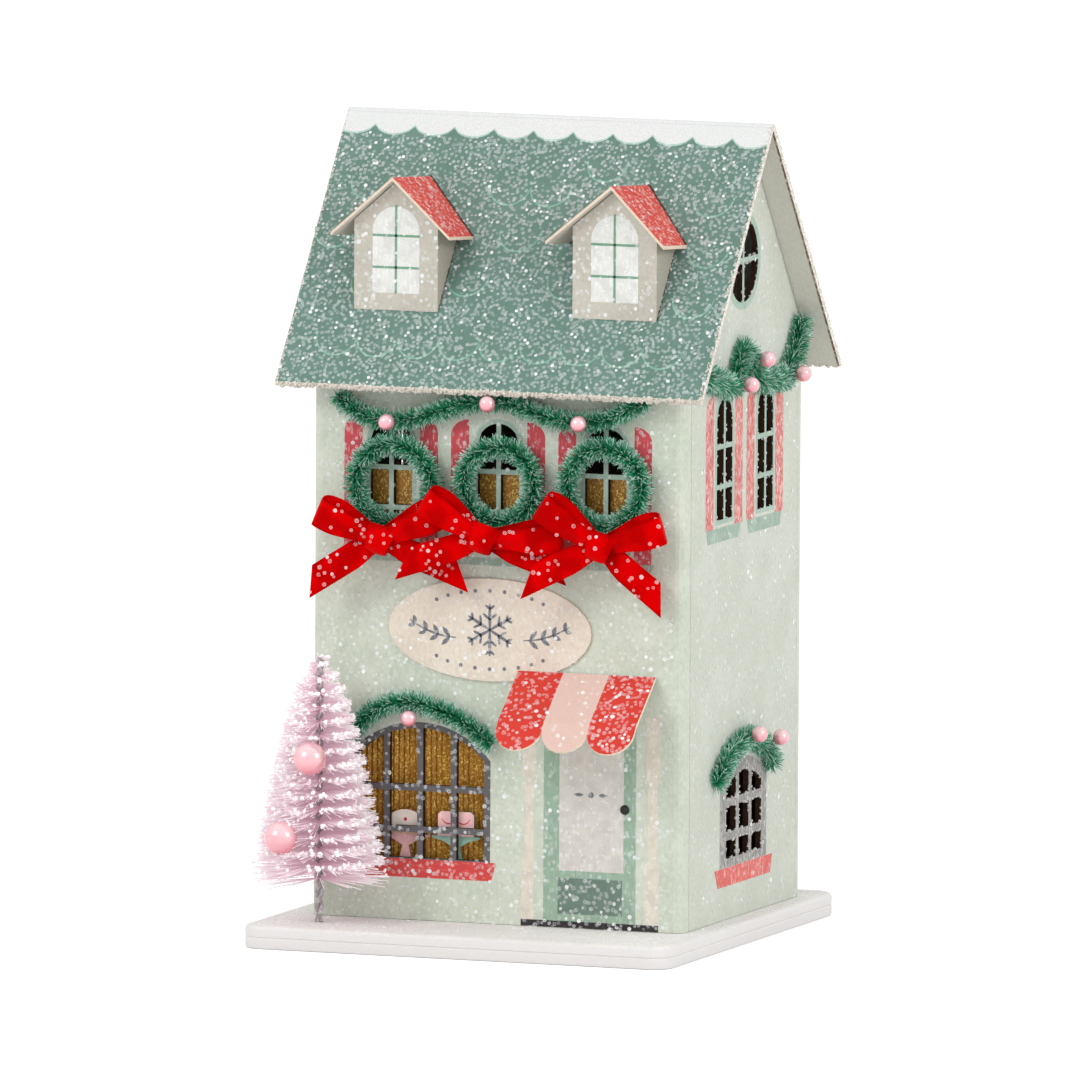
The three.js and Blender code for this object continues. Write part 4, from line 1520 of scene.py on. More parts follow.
class Palette:
    """Every finish of the house, each made once and found by its name."""

    def __init__(self) -> None:
        """Makes the materials."""
        sage = {"face": (0.78, 0.81, 0.745), "mottle": (0.825, 0.845, 0.79)}
        # The walls' cut edges are burnt brown. Their inner sides are painted dark brown, a painted shade for
        # the dark inside of the house.
        burnt = {"edge": (0.22, 0.13, 0.07), "edge_fleck": (0.08, 0.05, 0.03), "back": (0.20, 0.16, 0.13)}
        side = {"face": (0.78, 0.80, 0.75), "mottle": (0.815, 0.83, 0.785)}
        teal = {"face": (0.40, 0.52, 0.475), "mottle": (0.43, 0.545, 0.505), "fibre": 0.6}
        torn = {"edge": (0.95, 0.94, 0.92), "edge_fleck": (0.80, 0.76, 0.70), "back": (0.84, 0.83, 0.79)}
        finishes = (
            Card("sage_front", outward=(0, -1, 0), wrap=44.5, **sage, **burnt),
            Card("sage_back", outward=(0, 1, 0), wrap=44.5, **sage, **burnt),
            Card("sage_right", outward=(1, 0, 0), **side, **burnt),
            Card("sage_left", outward=(-1, 0, 0), **side, **burnt),
            Card("roof_front_card", outward=tuple(ROOF_FRONT.outward), **teal, **torn),
            Card("roof_back_card", outward=tuple(ROOF_BACK.outward), **teal, **torn),
            Card(
                "greige_card", face=(0.75, 0.73, 0.68), mottle=(0.79, 0.77, 0.72), outward=(0, -1, 0),
                back=(0.71, 0.69, 0.64), edge=(0.70, 0.68, 0.63), edge_fleck=(0.62, 0.59, 0.53),
            ),
            Frost("snow_glitter", (0.905, 0.91, 0.905), (0.855, 0.865, 0.86)),
            Card(
                "base_card", face=(0.905, 0.895, 0.885), mottle=(0.88, 0.87, 0.855), outward=(0, 0, 1),
                back=(0.85, 0.84, 0.82), edge=(0.89, 0.88, 0.875), edge_fleck=(0.865, 0.855, 0.85),
            ),
            Paint("burnt_line", (0.45, 0.36, 0.29), (0.76, 0.72, 0.65), 0.5, (1, 1, 0.6), 1.2),
            Frost("burnt_lump", (0.42, 0.30, 0.21), (0.24, 0.16, 0.11)),
            Frost("torn_card", (0.93, 0.91, 0.88), (0.84, 0.81, 0.76)),
            Frost("window_frost", (0.86, 0.86, 0.85), (0.74, 0.74, 0.73)),
            Paint("mint_shade", (0.66, 0.79, 0.74), (0.80, 0.88, 0.85)),
            Paint("arc_green", (0.50, 0.68, 0.60), (0.60, 0.74, 0.67)),
            Paint("shutter_red", (0.80, 0.31, 0.34), (0.90, 0.66, 0.65), 0.3),
            Paint("shutter_faded", (0.82, 0.43, 0.41), (0.90, 0.76, 0.73), 0.55, (1, 1, 0.35), 2.2),
            Paint("sill_faded", (0.87, 0.43, 0.41), (0.93, 0.78, 0.75), 0.35, (1, 1, 0.4), 1.2),
            Paint("lattice_faded", (0.56, 0.55, 0.54), (0.77, 0.76, 0.74), 0.5, (1, 1, 0.35), 2.0),
            Paint("door_side_strip", (0.81, 0.84, 0.78), (0.84, 0.86, 0.81)),
            Paint("pink_icing", (0.98, 0.78, 0.78), (1.0, 0.86, 0.85)),
            Paint("cream_icing", (0.98, 0.93, 0.88), (1.0, 0.97, 0.94)),
            Paint("cake_sponge", (0.86, 0.71, 0.60), (0.92, 0.82, 0.73)),
            Paint("cherry_red", (0.80, 0.20, 0.22), (0.86, 0.36, 0.36), 0.15),
            StreakedCard(
                "dormer_roof_red", face=(0.84, 0.33, 0.29), mottle=(0.81, 0.30, 0.27), outward=(0, 0, 1),
                back=(0.84, 0.81, 0.76), edge=(0.90, 0.83, 0.75), edge_fleck=(0.85, 0.74, 0.64), fibre=0.3,
                amount=0.35,
            ),
            StripedCard(
                "awning_stripes", face=(0.84, 0.25, 0.205), mottle=(0.82, 0.22, 0.18), outward=(0, -0.7, 0.7),
                back=(0.87, 0.84, 0.78), edge=(0.93, 0.88, 0.79), edge_fleck=(0.84, 0.74, 0.60), fibre=0.3,
                left=19.2, right=31.1,
            ),
            Paint("sill_red", (0.83, 0.28, 0.27), (0.88, 0.55, 0.54), 0.25, (0.3, 1, 1)),
            Paint("sill_green", (0.62, 0.70, 0.64), (0.74, 0.80, 0.74), 0.4),
            Paint("muntin_mint", (0.66, 0.75, 0.69), (0.76, 0.82, 0.77)),
            Paint("lattice_grey", (0.39, 0.38, 0.39), (0.49, 0.48, 0.49), 0.2),
            Paint("door_green", (0.60, 0.70, 0.62), (0.72, 0.79, 0.72), 0.35),
            Paint("door_panel", (0.84, 0.82, 0.79), (0.89, 0.88, 0.85)),
            Paint("door_kick", (0.43, 0.52, 0.47), (0.50, 0.58, 0.53)),
            Paint("cream_print", (0.87, 0.84, 0.78), (0.91, 0.88, 0.83), 0.4),
            Paint("threshold_grey", (0.20, 0.18, 0.19), (0.30, 0.28, 0.29)),
            Paint("pane_white", (0.89, 0.89, 0.87), (0.94, 0.94, 0.93), 0.4),
            Paint("pane_green", (0.47, 0.63, 0.53), (0.58, 0.71, 0.62)),
            Card(
                "sign_card", face=(0.87, 0.82, 0.76), mottle=(0.90, 0.86, 0.80), outward=(0, -1, 0),
                back=(0.8, 0.76, 0.7), edge=(0.80, 0.73, 0.64), edge_fleck=(0.6, 0.52, 0.44),
            ),
            Paint("sign_ink", (0.46, 0.47, 0.50), (0.66, 0.66, 0.66), 0.35),
            Gold(),
            Gold("shaded_gold_card", (0.50, 0.33, 0.08), (0.64, 0.45, 0.15), (0.86, 0.72, 0.36)),
            Flake(),
            Flake("satin_flake", (1.0, 0.86, 0.86), 0.16, 0.2, 0.45),
            Bristle(
                "green_chenille_hair", (0.03, 0.38, 0.25), (0.11, 0.60, 0.41), (0.84, 0.95, 0.91), 0.42, 0.58
            ),
            # The lilac hair and the white flock carry a painted glow, emitted light that brightens them in
            # shade.
            Bristle("lilac_hair", (0.91, 0.79, 0.84), (0.95, 0.87, 0.90), (1.0, 1.0, 1.0), 0.55, 0.6, 0.1),
            Frost("white_flock", (0.98, 0.98, 0.97), (0.95, 0.94, 0.94), 0.16),
            Satin(),
            Pearl(),
            Wire(),
            Wire("black_stud", (0.12, 0.12, 0.12), (0.04, 0.04, 0.04)),
            Paint("pink_cake", (0.90, 0.70, 0.70), (0.94, 0.80, 0.79)),
            Paint("mint_cake", (0.58, 0.72, 0.65), (0.68, 0.79, 0.73)),
        )
        self.made = {finish.name: finish.build() for finish in finishes}

    def __getitem__(self, name: str) -> Material:
        """The material of that name."""
        return self.made[name]


def mixed(first: Vector, second: Vector, start: float, end: float, now: float) -> Vector:
    """The first point at the start, the second at the end, and between them in between."""
    return first * ((end - now) / (end - start)) + second * ((now - start) / (end - start))


def centripetal(knots: Sequence[Vector], steps: int) -> list[Vector]:
    """Points on a smooth curve through all knots.

    Args:
        knots: Points that the curve goes through.
        steps: Stretches between two knots.

    Returns:
        The points.
    """
    padded = [2 * knots[0] - knots[1], *knots, 2 * knots[-1] - knots[-2]]
    line: list[Vector] = []
    for i in range(len(knots) - 1):
        p = padded[i:i + 4]
        t = [0.0]
        for a, b in zip(p, p[1:]):
            t.append(t[-1] + max((b - a).length, 1e-6) ** 0.5)
        for k in range(steps):
            s = t[1] + (t[2] - t[1]) * k / steps
            a = [mixed(p[j], p[j + 1], t[j], t[j + 1], s) for j in range(3)]
            b = [mixed(a[j], a[j + 1], t[j], t[j + 2], s) for j in range(2)]
            line.append(mixed(b[0], b[1], t[1], t[2], s))
    line.append(knots[-1].copy())
    return line


def curve_of(name: str, line: Sequence[Vector], closed: bool = False) -> bpy.types.Curve:
    """A curve of straight stretches, in metres, for a recipe to read.

    Args:
        name: The curve's name.
        line: Points along it.
        closed: Whether it is a ring.

    Returns:
        The curve.
    """
    curve = bpy.data.curves.new(name, "CURVE")
    curve.dimensions = "3D"
    spline = curve.splines.new("POLY")
    spline.points.add(len(line) - 1)
    for point, place in zip(spline.points, line):
        point.co = (*(place * MM), 1.0)
    spline.use_cyclic_u = closed
    return curve


def points_of(name: str, places: Sequence[Vector], aims: Sequence[Vector] = ()) -> Mesh:
    """A mesh of loose points, in metres, each with its aim.

    Args:
        name: The mesh's name.
        places: The points.
        aims: Direction and length at each point.

    Returns:
        The mesh.
    """
    mesh = bpy.data.meshes.new(name)
    mesh.from_pydata([p * MM for p in places], [], [])
    if aims:
        layer = mesh.attributes.new("aim", "FLOAT_VECTOR", "POINT")
        for item, aim in zip(layer.data, aims):
            item.vector = aim * MM
    return mesh


class Workshop:
    """What every sub-assembly works with: the finishes and the recipes.

    Attributes:
        tilt: Largest tilt of a flake in radians.
    """

    tilt = 0.22

    def __init__(self) -> None:
        """Makes the finishes and the recipes."""
        self.palette = Palette()
        self.flakes = FlakeScatter("flake_scatter", self.palette["clear_flake"])
        self.chenille = BristledStem("chenille_stem", self.palette["green_chenille_hair"])
        self.hair = AimedHair("brush_hair", self.palette["lilac_hair"])
        self.clumps = Clumps("flock_clumps", self.palette["white_flock"])

    def piece(
        self, name: str, shape: Form | Mesh, finish: str, slot: str, nodes: Sequence[str] = (),
        smooth: float | None = None,
    ) -> bpy.types.Object:
        """Puts a finished shape on the house.

        Args:
            name: The piece's name.
            shape: A form, or a mesh in metres and in place.
            finish: Name of its finish.
            slot: The record's slot that the finish belongs to; not used.
            nodes: Solids that it stands for.
            smooth: Sharpest angle in degrees of a form that is still shaded smooth.

        Returns:
            The object.
        """
        mesh = shape.mesh(name, smooth) if isinstance(shape, Form) else shape
        body = bpy.data.objects.new(name, mesh)
        bpy.context.scene.collection.objects.link(body)
        mesh.materials.clear()
        mesh.materials.append(self.palette[finish])
        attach(body, "root")
        if nodes:
            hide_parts(*nodes)
        log.info("%s: %d faces", name, len(mesh.polygons))
        return body

    def dress(self, node: str, finish: str) -> None:
        """Gives a solid that stays its finish.

        Args:
            node: The solid.
            finish: Name of its finish.
        """
        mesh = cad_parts[node].data
        mesh.materials.clear()
        mesh.materials.append(self.palette[finish])
        log.info("%s: dressed as %s", node, finish)

    def lumps(
        self, name: str, places: Sequence[Vector], size: float, finish: str, slot: str
    ) -> bpy.types.Object:
        """Sets a rough lump of about that radius on each place."""
        mesh = self.clumps.bake(name, points_of(name, places), {"Size": size * MM})
        return self.piece(name, mesh, finish, slot)

    def dust(
        self, name: str, patch: BMesh, slot: str, density: float, seed: int, size: float = 1.15,
        lift: float = 0.09, dullness: float = 1.0, finish: str = "clear_flake",
    ) -> None:
        """Scatters flakes over a patch.

        Args:
            name: The piece's name.
            patch: Faces to cover, in millimetres; it is freed.
            slot: The record's slot of the surface below.
            density: Flakes in a square millimetre, before those go that would lie too close.
            seed: Seed of the scatter.
            size: Width of a flake.
            lift: Least height over the patch.
            dullness: Over 1 for fewer bright flakes, under 1 for more.
            finish: Name of the flakes' finish.
        """
        mesh = self.flakes.bake(name, in_metres(name, patch), {
            "Density": density / MM ** 2, "Size": size * MM, "Lift": lift * MM, "Tilt": self.tilt,
            "Dullness": dullness, "Seed": seed,
        })
        self.piece(name, mesh, finish, slot).visible_shadow = False


@dataclass
class BaseBoard:
    """The thick card that the house stands on.

    Attributes:
        density: Flakes in a square millimetre of its top.
        corner: Radius of its corners.
        sides: Section of its side, as insets and shares of its thickness.
    """

    shop: Workshop
    density: float = 0.12
    corner: float = 5.2
    sides: tuple[Point, ...] = (
        (0.5, 0.0), (0.15, 0.03), (0.0, 0.1), (0.0, 0.44), (0.13, 0.47), (0.13, 0.5), (0.0, 0.53),
        (0.0, 0.82), (0.1, 0.89), (0.35, 0.95), (0.9, 1.0),
    )

    def ring(self, inset: float, share: float) -> list[Vector]:
        """The board's outline at one height.

        Args:
            inset: Distance inside the board's sides.
            share: Height as a share of the board's thickness.

        Returns:
            Points, anticlockwise from above.
        """
        low, high = lows("base_board"), highs("base_board")
        z = low.z + (high.z - low.z) * share
        points: list[Vector] = []
        for x, y, start in (
            (high.x, high.y, 0), (low.x, high.y, 90), (low.x, low.y, 180), (high.x, low.y, 270),
        ):
            middle = (
                x - math.copysign(self.corner, x - MIDDLE_X), y - math.copysign(self.corner, y - RIDGE_Y),
            )
            points += [Vector((a, b, z)) for a, b in arc(middle, self.corner - inset, start, start + 90, 8)]
        return points

    def build(self) -> None:
        """Makes the board of two layers with rounded corners, and dusts its top."""
        rings = [self.ring(inset, share) for inset, share in self.sides]
        board = Form()
        board.loft(rings)
        self.shop.piece("base_board_layers", board, "base_card", "base_card", ["base_board"], 30)
        top = bmesh.new()
        top.faces.new([top.verts.new(point) for point in rings[-1]])
        self.shop.dust("base_top_flakes", top, "base_card", self.density, 21, dullness=0.6)


class Facade:
    """A wall with printed windows. Each kind of wall holds its own sizes.

    Attributes:
        slot: The record's slot of the wall.
        tall_middles: Middles of the tall windows along the wall.
        tall_foot: Foot of the tall windows' holes.
        tall_border: Width of the printed frame round a tall window.
        sill_ends: A tall window's sill from its middle: lower left, lower right, upper right, upper left.
        sill_heights: Foot and top of those sills.
    """

    shop: Workshop
    wall: str
    face: Face
    slot = "sage_card"
    tall_middles: tuple[float, ...]
    tall_foot: float
    tall_height = 29.7
    tall_width = 10.8
    tall_border = 1.05
    sill_ends: Ends
    sill_heights: Point

    def inside(self, outline: Sequence[Point]) -> BMesh:
        """The part of the wall's face inside an outline."""
        return trimmed(self.wall, self.face, outline)

    def prints(self, name: str, outlines: Iterable[Sequence[Point]], finish: str, top: float = 0.05) -> None:
        """Lays a thin plate over the wall inside each outline, all as one piece.

        Args:
            name: The piece's name.
            outlines: The outlines.
            finish: Name of its finish.
            top: Height of the plates.
        """
        form = Form()
        for outline in outlines:
            form.skin(self.inside(outline), self.face.outward, top)
        self.shop.piece(name, form, finish, self.slot)

    def tall_frames(self) -> list[list[Point]]:
        """Outlines of the printed frames of the tall windows.

        Returns:
            Points along the wall and up it, for each window.
        """
        half = self.tall_width / 2 + self.tall_border
        low = self.tall_foot - self.tall_border
        top = self.tall_foot + self.tall_height + self.tall_border
        return [arched(m - half, m + half, low, top, half) for m in self.tall_middles]

    def tall_sills(self) -> list[list[Point]]:
        """Outlines of the sills under the tall windows."""
        return [trapezoid(self.sill_ends, *self.sill_heights, m) for m in self.tall_middles]


@dataclass
class FrontFacade(Facade):
    """Everything printed on the front wall.

    Attributes:
        shutters: Left side, right side and high side of each shutter.
        shutter_heights: Foot and top of the shutters.
        shop_frame: Left, right, low and top side of the shop window's lattice, and its arch's radius.
        shop_sill: The sill under it, as in a tall window's sill, then its foot and top.
    """

    shop: Workshop
    wall: str = "front_wall"
    face: Face = FRONT
    tall_middles: tuple[float, ...] = (-26.3, 1.6, 29.5)
    tall_foot: float = 98.7
    sill_ends: Ends = (-11.6, 11.6, 12.6, -12.6)
    sill_heights: Point = (93.6, 95.5)
    shutters: tuple[tuple[float, float, int], ...] = (
        (-38.6, -33.9, -1), (-18.9, -14.2, 1), (-10.8, -6.1, -1), (9.0, 13.7, 1), (17.1, 21.7, -1),
        (36.9, 41.4, 1),
    )
    shutter_heights: Point = (95.5, 129.1)
    shop_frame: tuple[float, ...] = (-37.3, -0.1, 20.7, 54.4, 24.0)
    shop_sill: tuple[Ends, float, float] = ((-36.7, 0.2, 1.5, -38.6), 16.2, 20.7)
    door_strips: tuple[Box, ...] = ((11.6, 13.8, 7.4, 57), (37.8, 40.0, 7.4, 57))
    pilasters: tuple[Box, ...] = (
        (8.0, 11.3, 7.4, 22.5), (8.9, 11.1, 22.5, 42.5), (8.2, 11.6, 42.5, 58.5),
        (39.9, 43.8, 7.4, 22.5), (40.9, 43.3, 22.5, 42.5), (40.4, 44.0, 42.5, 58.5),
    )
    door: Box = (13.8, 37.8, 7.4, 57)
    panel: Box = (17.9, 34.6, 19.8, 57)
    kick: Box = (17.6, 34.3, 9.2, 18.0)
    threshold: Box = (8.0, 43.7, 5.85, 7.4)
    ornament: Point = (26.1, 38.6)
    ornament_gap: float = 1.8

    def build(self) -> None:
        """Dresses the wall, prints its windows and door, and dusts it."""
        self.shop.dress(self.wall, "sage_front")
        self.prints("front_window_frames", self.tall_frames(), "muntin_mint")
        self.prints("front_shutters", [
            shutter(left, right, *self.shutter_heights, outer) for left, right, outer in self.shutters
        ], "shutter_red")
        self.prints("front_sills", self.tall_sills(), "sill_green")
        lattice = arched(*self.shop_frame)
        sill = trapezoid(*self.shop_sill)
        self.prints("shop_lattice", [lattice], "lattice_grey")
        self.prints("shop_sill", [sill], "sill_red", 0.07)
        self.print_door()
        bare = outer_faces(self.wall, self.face)
        self.shop.dust("front_wall_flakes", bare, self.slot, 0.25, 31, dullness=0.6)
        self.shop.dust("shop_lattice_flakes", self.inside(lattice), self.slot, 0.3, 36)
        self.shop.dust("shop_sill_flakes", self.inside(sill), self.slot, 0.3, 37, lift=0.12)

    def print_door(self) -> None:
        """Prints the door, its frame, pilasters and threshold."""
        for name, boxes, finish, top in (
            ("door_side_strips", self.door_strips, "door_side_strip", 0.03),
            ("door_pilasters", self.pilasters, "cream_print", 0.04),
            ("door_frame", [self.door], "door_green", 0.04),
            ("door_panel", [self.panel], "door_panel", 0.07),
            ("door_kick_panel", [self.kick], "door_kick", 0.07),
            ("door_threshold", [self.threshold], "threshold_grey", 0.09),
        ):
            self.prints(name, [rect(*box) for box in boxes], finish, top)
        x, z = self.ornament
        self.prints("door_ornament", [
            leaf((x - self.ornament_gap, z), 180, 2.6, 0.9), leaf((x + self.ornament_gap, z), 0, 2.6, 0.9),
            oval(self.ornament, 1.5, 1.5, 20),
        ], "sign_ink", 0.09)
        self.shop.dust("door_kick_flakes", self.inside(rect(*self.kick)), self.slot, 0.42, 38, lift=0.12)
        self.shop.dust("threshold_flakes", self.inside(rect(*self.threshold)), self.slot, 0.5, 39, lift=0.14)


@dataclass
class GableFacade(Facade):
    """Everything printed on one gable wall.

    Attributes:
        shutters: Left side, right side and high side of each shutter, from a window's middle.
        shutter_heights: Foot and top of the shutters.
        round_width: Width of the round window's printed frame.
        round_box: Left, right, low and high sides of a box round that window's hole.
        low_frame: Left, right, low and top side of the low window's lattice, and its arch's radius.
        low_sill: The sill under it, as in a tall window's sill, then its foot and top.
        frost_size: Radius of the frost's lumps.
    """

    shop: Workshop
    side: Side
    face: Face
    seed: int
    tall_middles: tuple[float, ...] = (-7.3, 21.3)
    tall_foot: float = 104.5
    sill_ends: Ends = (-11.4, 10.4, 11.6, -12.6)
    sill_heights: Point = (99.2, 102.6)
    shutters: tuple[tuple[float, float, int], ...] = ((-13.1, -7.6, -1), (7.1, 12.6, 1))
    shutter_heights: Point = (102.6, 135.5)
    round_middle: Point = (5.0, 166.7)
    round_width: float = 24.2
    round_box: Box = (-8, 18, 154, 180)
    low_frame: tuple[float, ...] = (-9.0, 23.6, 18.6, 44.8, 25.5)
    low_sill: tuple[Ends, float, float] = ((-10.3, 26.5, 27.9, -12.6), 14.0, 18.5)
    frost_size: float = 0.42

    @property
    def wall(self) -> str:
        """The wall's solid."""
        return f"{self.side.value}_wall"

    def build(self) -> None:
        """Dresses the wall, prints its windows, and dusts it."""
        name = self.side.value
        self.shop.dress(self.wall, f"sage_{name}")
        ring = oval(self.round_middle, self.round_width, self.round_width)
        self.prints(f"{name}_window_frames", [ring, *self.tall_frames()], "muntin_mint")
        self.prints(f"{name}_shutters", [
            shutter(middle + left, middle + right, *self.shutter_heights, outer)
            for middle in self.tall_middles for left, right, outer in self.shutters
        ], "shutter_faded")
        self.prints(f"{name}_sills", self.tall_sills(), "sill_green")
        self.prints(f"{name}_lattice", [arched(*self.low_frame)], "lattice_faded")
        self.prints(f"{name}_low_sill", [trapezoid(*self.low_sill)], "sill_faded", 0.07)
        dusted = outer_faces(self.wall, self.face)
        self.shop.dust(f"{name}_wall_flakes", dusted, self.slot, 0.07, self.seed, dullness=0.7)
        self.frost()

    def frost(self) -> None:
        """Sets rough frost along the edges of the window holes."""
        low, top = self.tall_foot - 1, self.tall_foot + 31
        parts = [(self.low_frame[:4], 0.55, self.seed)]
        parts += [((middle - 6, middle + 6, low, top), 0.3, self.seed + 1) for middle in self.tall_middles]
        parts.append((self.round_box, 0.3, self.seed + 2))
        places: list[Vector] = []
        for box, density, seed in parts:
            places += rim(outer_faces(self.wall, self.face), self.face, box, density, seed)
        self.shop.lumps(f"{self.side.value}_window_frost", places, self.frost_size, "window_frost", self.slot)


@dataclass
class BackWall:
    """The plain wall with the hole for a light."""

    shop: Workshop

    def build(self) -> None:
        """Dresses and dusts the wall."""
        self.shop.dress("back_wall", "sage_back")
        self.shop.dust("back_wall_flakes", outer_faces("back_wall", BACK), "sage_card", 0.03, 35)


@dataclass
class Roof:
    """Both slopes, with their snow and their scallops.

    Attributes:
        scallop_pitch: Width of one scallop of the snow's edge.
        scallop_start: Where the first one starts, left of the roof.
        cusp: Distance of the snow's cusps down the slope.
        belly: Distance of its lowest points.
        snow_top: Where the flat part of the snow starts.
        round_drop: Depth of the rounded ridge's centre under the peak.
        round_radius: Radius of the snow on the ridge.
        arc_line: Width of a painted scallop's brush stroke.
        burnt_width: Width of the burnt line under a raking edge.
    """

    shop: Workshop
    slot = "roof_card"
    scallop_pitch: float = 10.35
    scallop_start: float = -55.9
    cusp: float = 5.3
    belly: float = 7.9
    snow_top: float = 1.6
    snow_height: float = 0.12
    round_drop: float = 1.957
    round_radius: float = 1.32
    arc_width: float = 10.6
    arc_depth: float = 5.8
    arc_line: float = 0.55
    arc_row: tuple[float, float, int] = (-46.1, 66.4, 9)
    arc_places: tuple[Point, ...] = (
        (-48.0, 21.2), (-54.0, 35.6), (-11.6, 21.4), (-1.0, 21.4), (-6.0, 34.6), (-16.4, 48.0),
        (9.6, 47.8), (41.5, 22.4), (43.6, 37.0), (-41.0, 50.4), (43.0, 51.6), (12.0, 13.6),
    )
    burnt_width: float = 0.55

    def snow_edge(self, drop: float) -> list[Point]:
        """The scalloped lower edge of the snow, from left to right.

        Args:
            drop: Distance that the edge is lowered.

        Returns:
            Points across the slope and down it.
        """
        edge: list[Point] = []
        count = math.ceil((ROOF_RIGHT - self.scallop_start) / self.scallop_pitch)
        for i in range(count):
            for k in range(8):
                share = k / 8
                x = self.scallop_start + (i + share) * self.scallop_pitch
                if ROOF_LEFT <= x <= ROOF_RIGHT:
                    swell = math.sin(math.pi * share) ** 0.6
                    edge.append((x, self.cusp + drop + (self.belly - self.cusp) * swell))
        return [(ROOF_LEFT, edge[0][1]), *edge, (ROOF_RIGHT, edge[-1][1])]

    def scallop(self, left: float, down: float) -> list[Point]:
        """The outline of one painted scallop, from its left end.

        Args:
            left: Its left end.
            down: Its distance down the slope.

        Returns:
            The outline.
        """
        middle = left + self.arc_width / 2
        turns = [math.pi * i / 16 for i in range(17)]
        return stroke([
            (middle - math.cos(t) * self.arc_width / 2, down + math.sin(t) * self.arc_depth) for t in turns
        ], self.arc_line)

    def cap(self) -> None:
        """Lays the snow over the rounded ridge."""
        middle = Vector((0, RIDGE_Y, RIDGE_PEAK - self.round_drop))
        rows: list[list[Vector]] = []
        steps = 40
        chance = random.Random(43)
        for i in range(steps + 1):
            x = ROOF_LEFT + (ROOF_RIGHT - ROOF_LEFT) * i / steps
            row = [ROOF_FRONT.at(x, 1.9, 0.13)]
            for k in range(13):
                turn = ROOF_PITCH * (2 * k / 12 - 1)
                radius = self.round_radius + chance.uniform(-0.05, 0.05)
                row.append(middle + Vector((x, math.sin(turn) * radius, math.cos(turn) * radius)))
            rows.append([*row, ROOF_BACK.at(x, 1.9, 0.13)])
        form = Form()
        form.slab(rows, self.snow_height)
        self.shop.piece("ridge_snow_cap", form, "snow_glitter", self.slot, smooth=40)

    def torn(self, side: str, face: Face) -> None:
        """Roughens the cut edges of one slope with lumps and loose fibres.

        Args:
            side: Name of the slope.
            face: The slope.
        """
        chance = random.Random(44)
        node = f"roof_{side}"
        places, normals = sprinkle(towards(node, face.outward, -0.4, 0.4), 3.0, 45)
        self.shop.lumps(f"roof_torn_edge_{side}", places, 0.26, "torn_card", self.slot)
        foot = sprinkle(towards(node, face.up, 0.7), 6.0, 48)[0]
        lip = [place - Z * chance.uniform(0.0, 0.5) for place in foot]
        self.shop.lumps(f"roof_torn_lip_{side}", lip, 0.5, "torn_card", self.slot)
        aims = []
        for normal in normals:
            aim = normal * 0.35 + Vector([chance.uniform(-1, 1) for _ in range(3)])
            aims.append(aim.normalized() * chance.uniform(0.3, 0.8))
        fibres = self.shop.hair.bake("fibres", points_of("fibres", places[::2], aims[::2]), {
            "Root": 0.05 * MM, "Taper": 0.4, "Seed": 47,
        })
        self.shop.piece(f"roof_torn_fibres_{side}", fibres, "torn_card", self.slot)

    def rakes(self, side: str, face: Face) -> None:
        """Frosts both raking edges of one slope and darkens them underneath.

        Args:
            side: Name of the slope.
            face: The slope.
        """
        node = f"roof_{side}"
        places: list[Vector] = []
        line = Form()
        for edge, inward, band in ((ROOF_LEFT, X, 0.6), (ROOF_RIGHT, -X, 0.8)):
            patch = outer_faces(node, face)
            cut(patch, X * edge + inward * band, inward)
            places += sprinkle(patch, 3.4, 51)[0]
            under = towards(node, -face.outward, 0.95)
            cut(under, X * edge + inward * self.burnt_width, inward)
            line.skin(under, -face.outward, 0.04)
        self.shop.lumps(f"roof_rake_frost_{side}", places, 0.3, "torn_card", self.slot)
        self.shop.piece(f"roof_burnt_line_{side}", line, "burnt_line", self.slot)

    def plates(
        self, name: str, face: Face, outlines: Iterable[Sequence[Point]], top: float, finish: str
    ) -> None:
        """Lays thin plates on one slope, all as one piece.

        Args:
            name: The piece's name.
            face: The slope.
            outlines: The plates' outlines.
            top: Height of the plates.
            finish: Name of their finish.
        """
        form = Form()
        for outline in outlines:
            form.plate(face, outline, top)
        self.shop.piece(name, form, finish, self.slot)

    def build(self) -> None:
        """Dresses both slopes."""
        self.cap()
        first, down, count = self.arc_row
        arcs = [(first + self.arc_width * i, down) for i in range(count)] + list(self.arc_places)
        for slope, face, seed in ((Slope.FRONT, ROOF_FRONT, 41), (Slope.BACK, ROOF_BACK, 42)):
            side = slope.value
            node = f"roof_{side}"
            self.shop.dress(node, f"roof_{side}_card")
            snow = [(ROOF_LEFT, self.snow_top), (ROOF_RIGHT, self.snow_top), *self.snow_edge(0)[::-1]]
            self.plates(f"ridge_snow_{side}", face, [snow], self.snow_height, "snow_glitter")
            shade = [*self.snow_edge(-1.2), *self.snow_edge(0.45)[::-1]]
            self.plates(f"ridge_snow_shade_{side}", face, [shade], 0.06, "mint_shade")
            scallops = [self.scallop(*place) for place in arcs]
            self.plates(f"roof_scallops_{side}", face, scallops, 0.05, "arc_green")
            below_snow = outer_faces(node, face)
            cut(below_snow, face.at(0, self.belly), -face.up)
            self.shop.dust(f"roof_flakes_{side}", below_snow, self.slot, 1.25, seed, size=1.02, lift=0.14)
            self.torn(side, face)
            self.rakes(side, face)


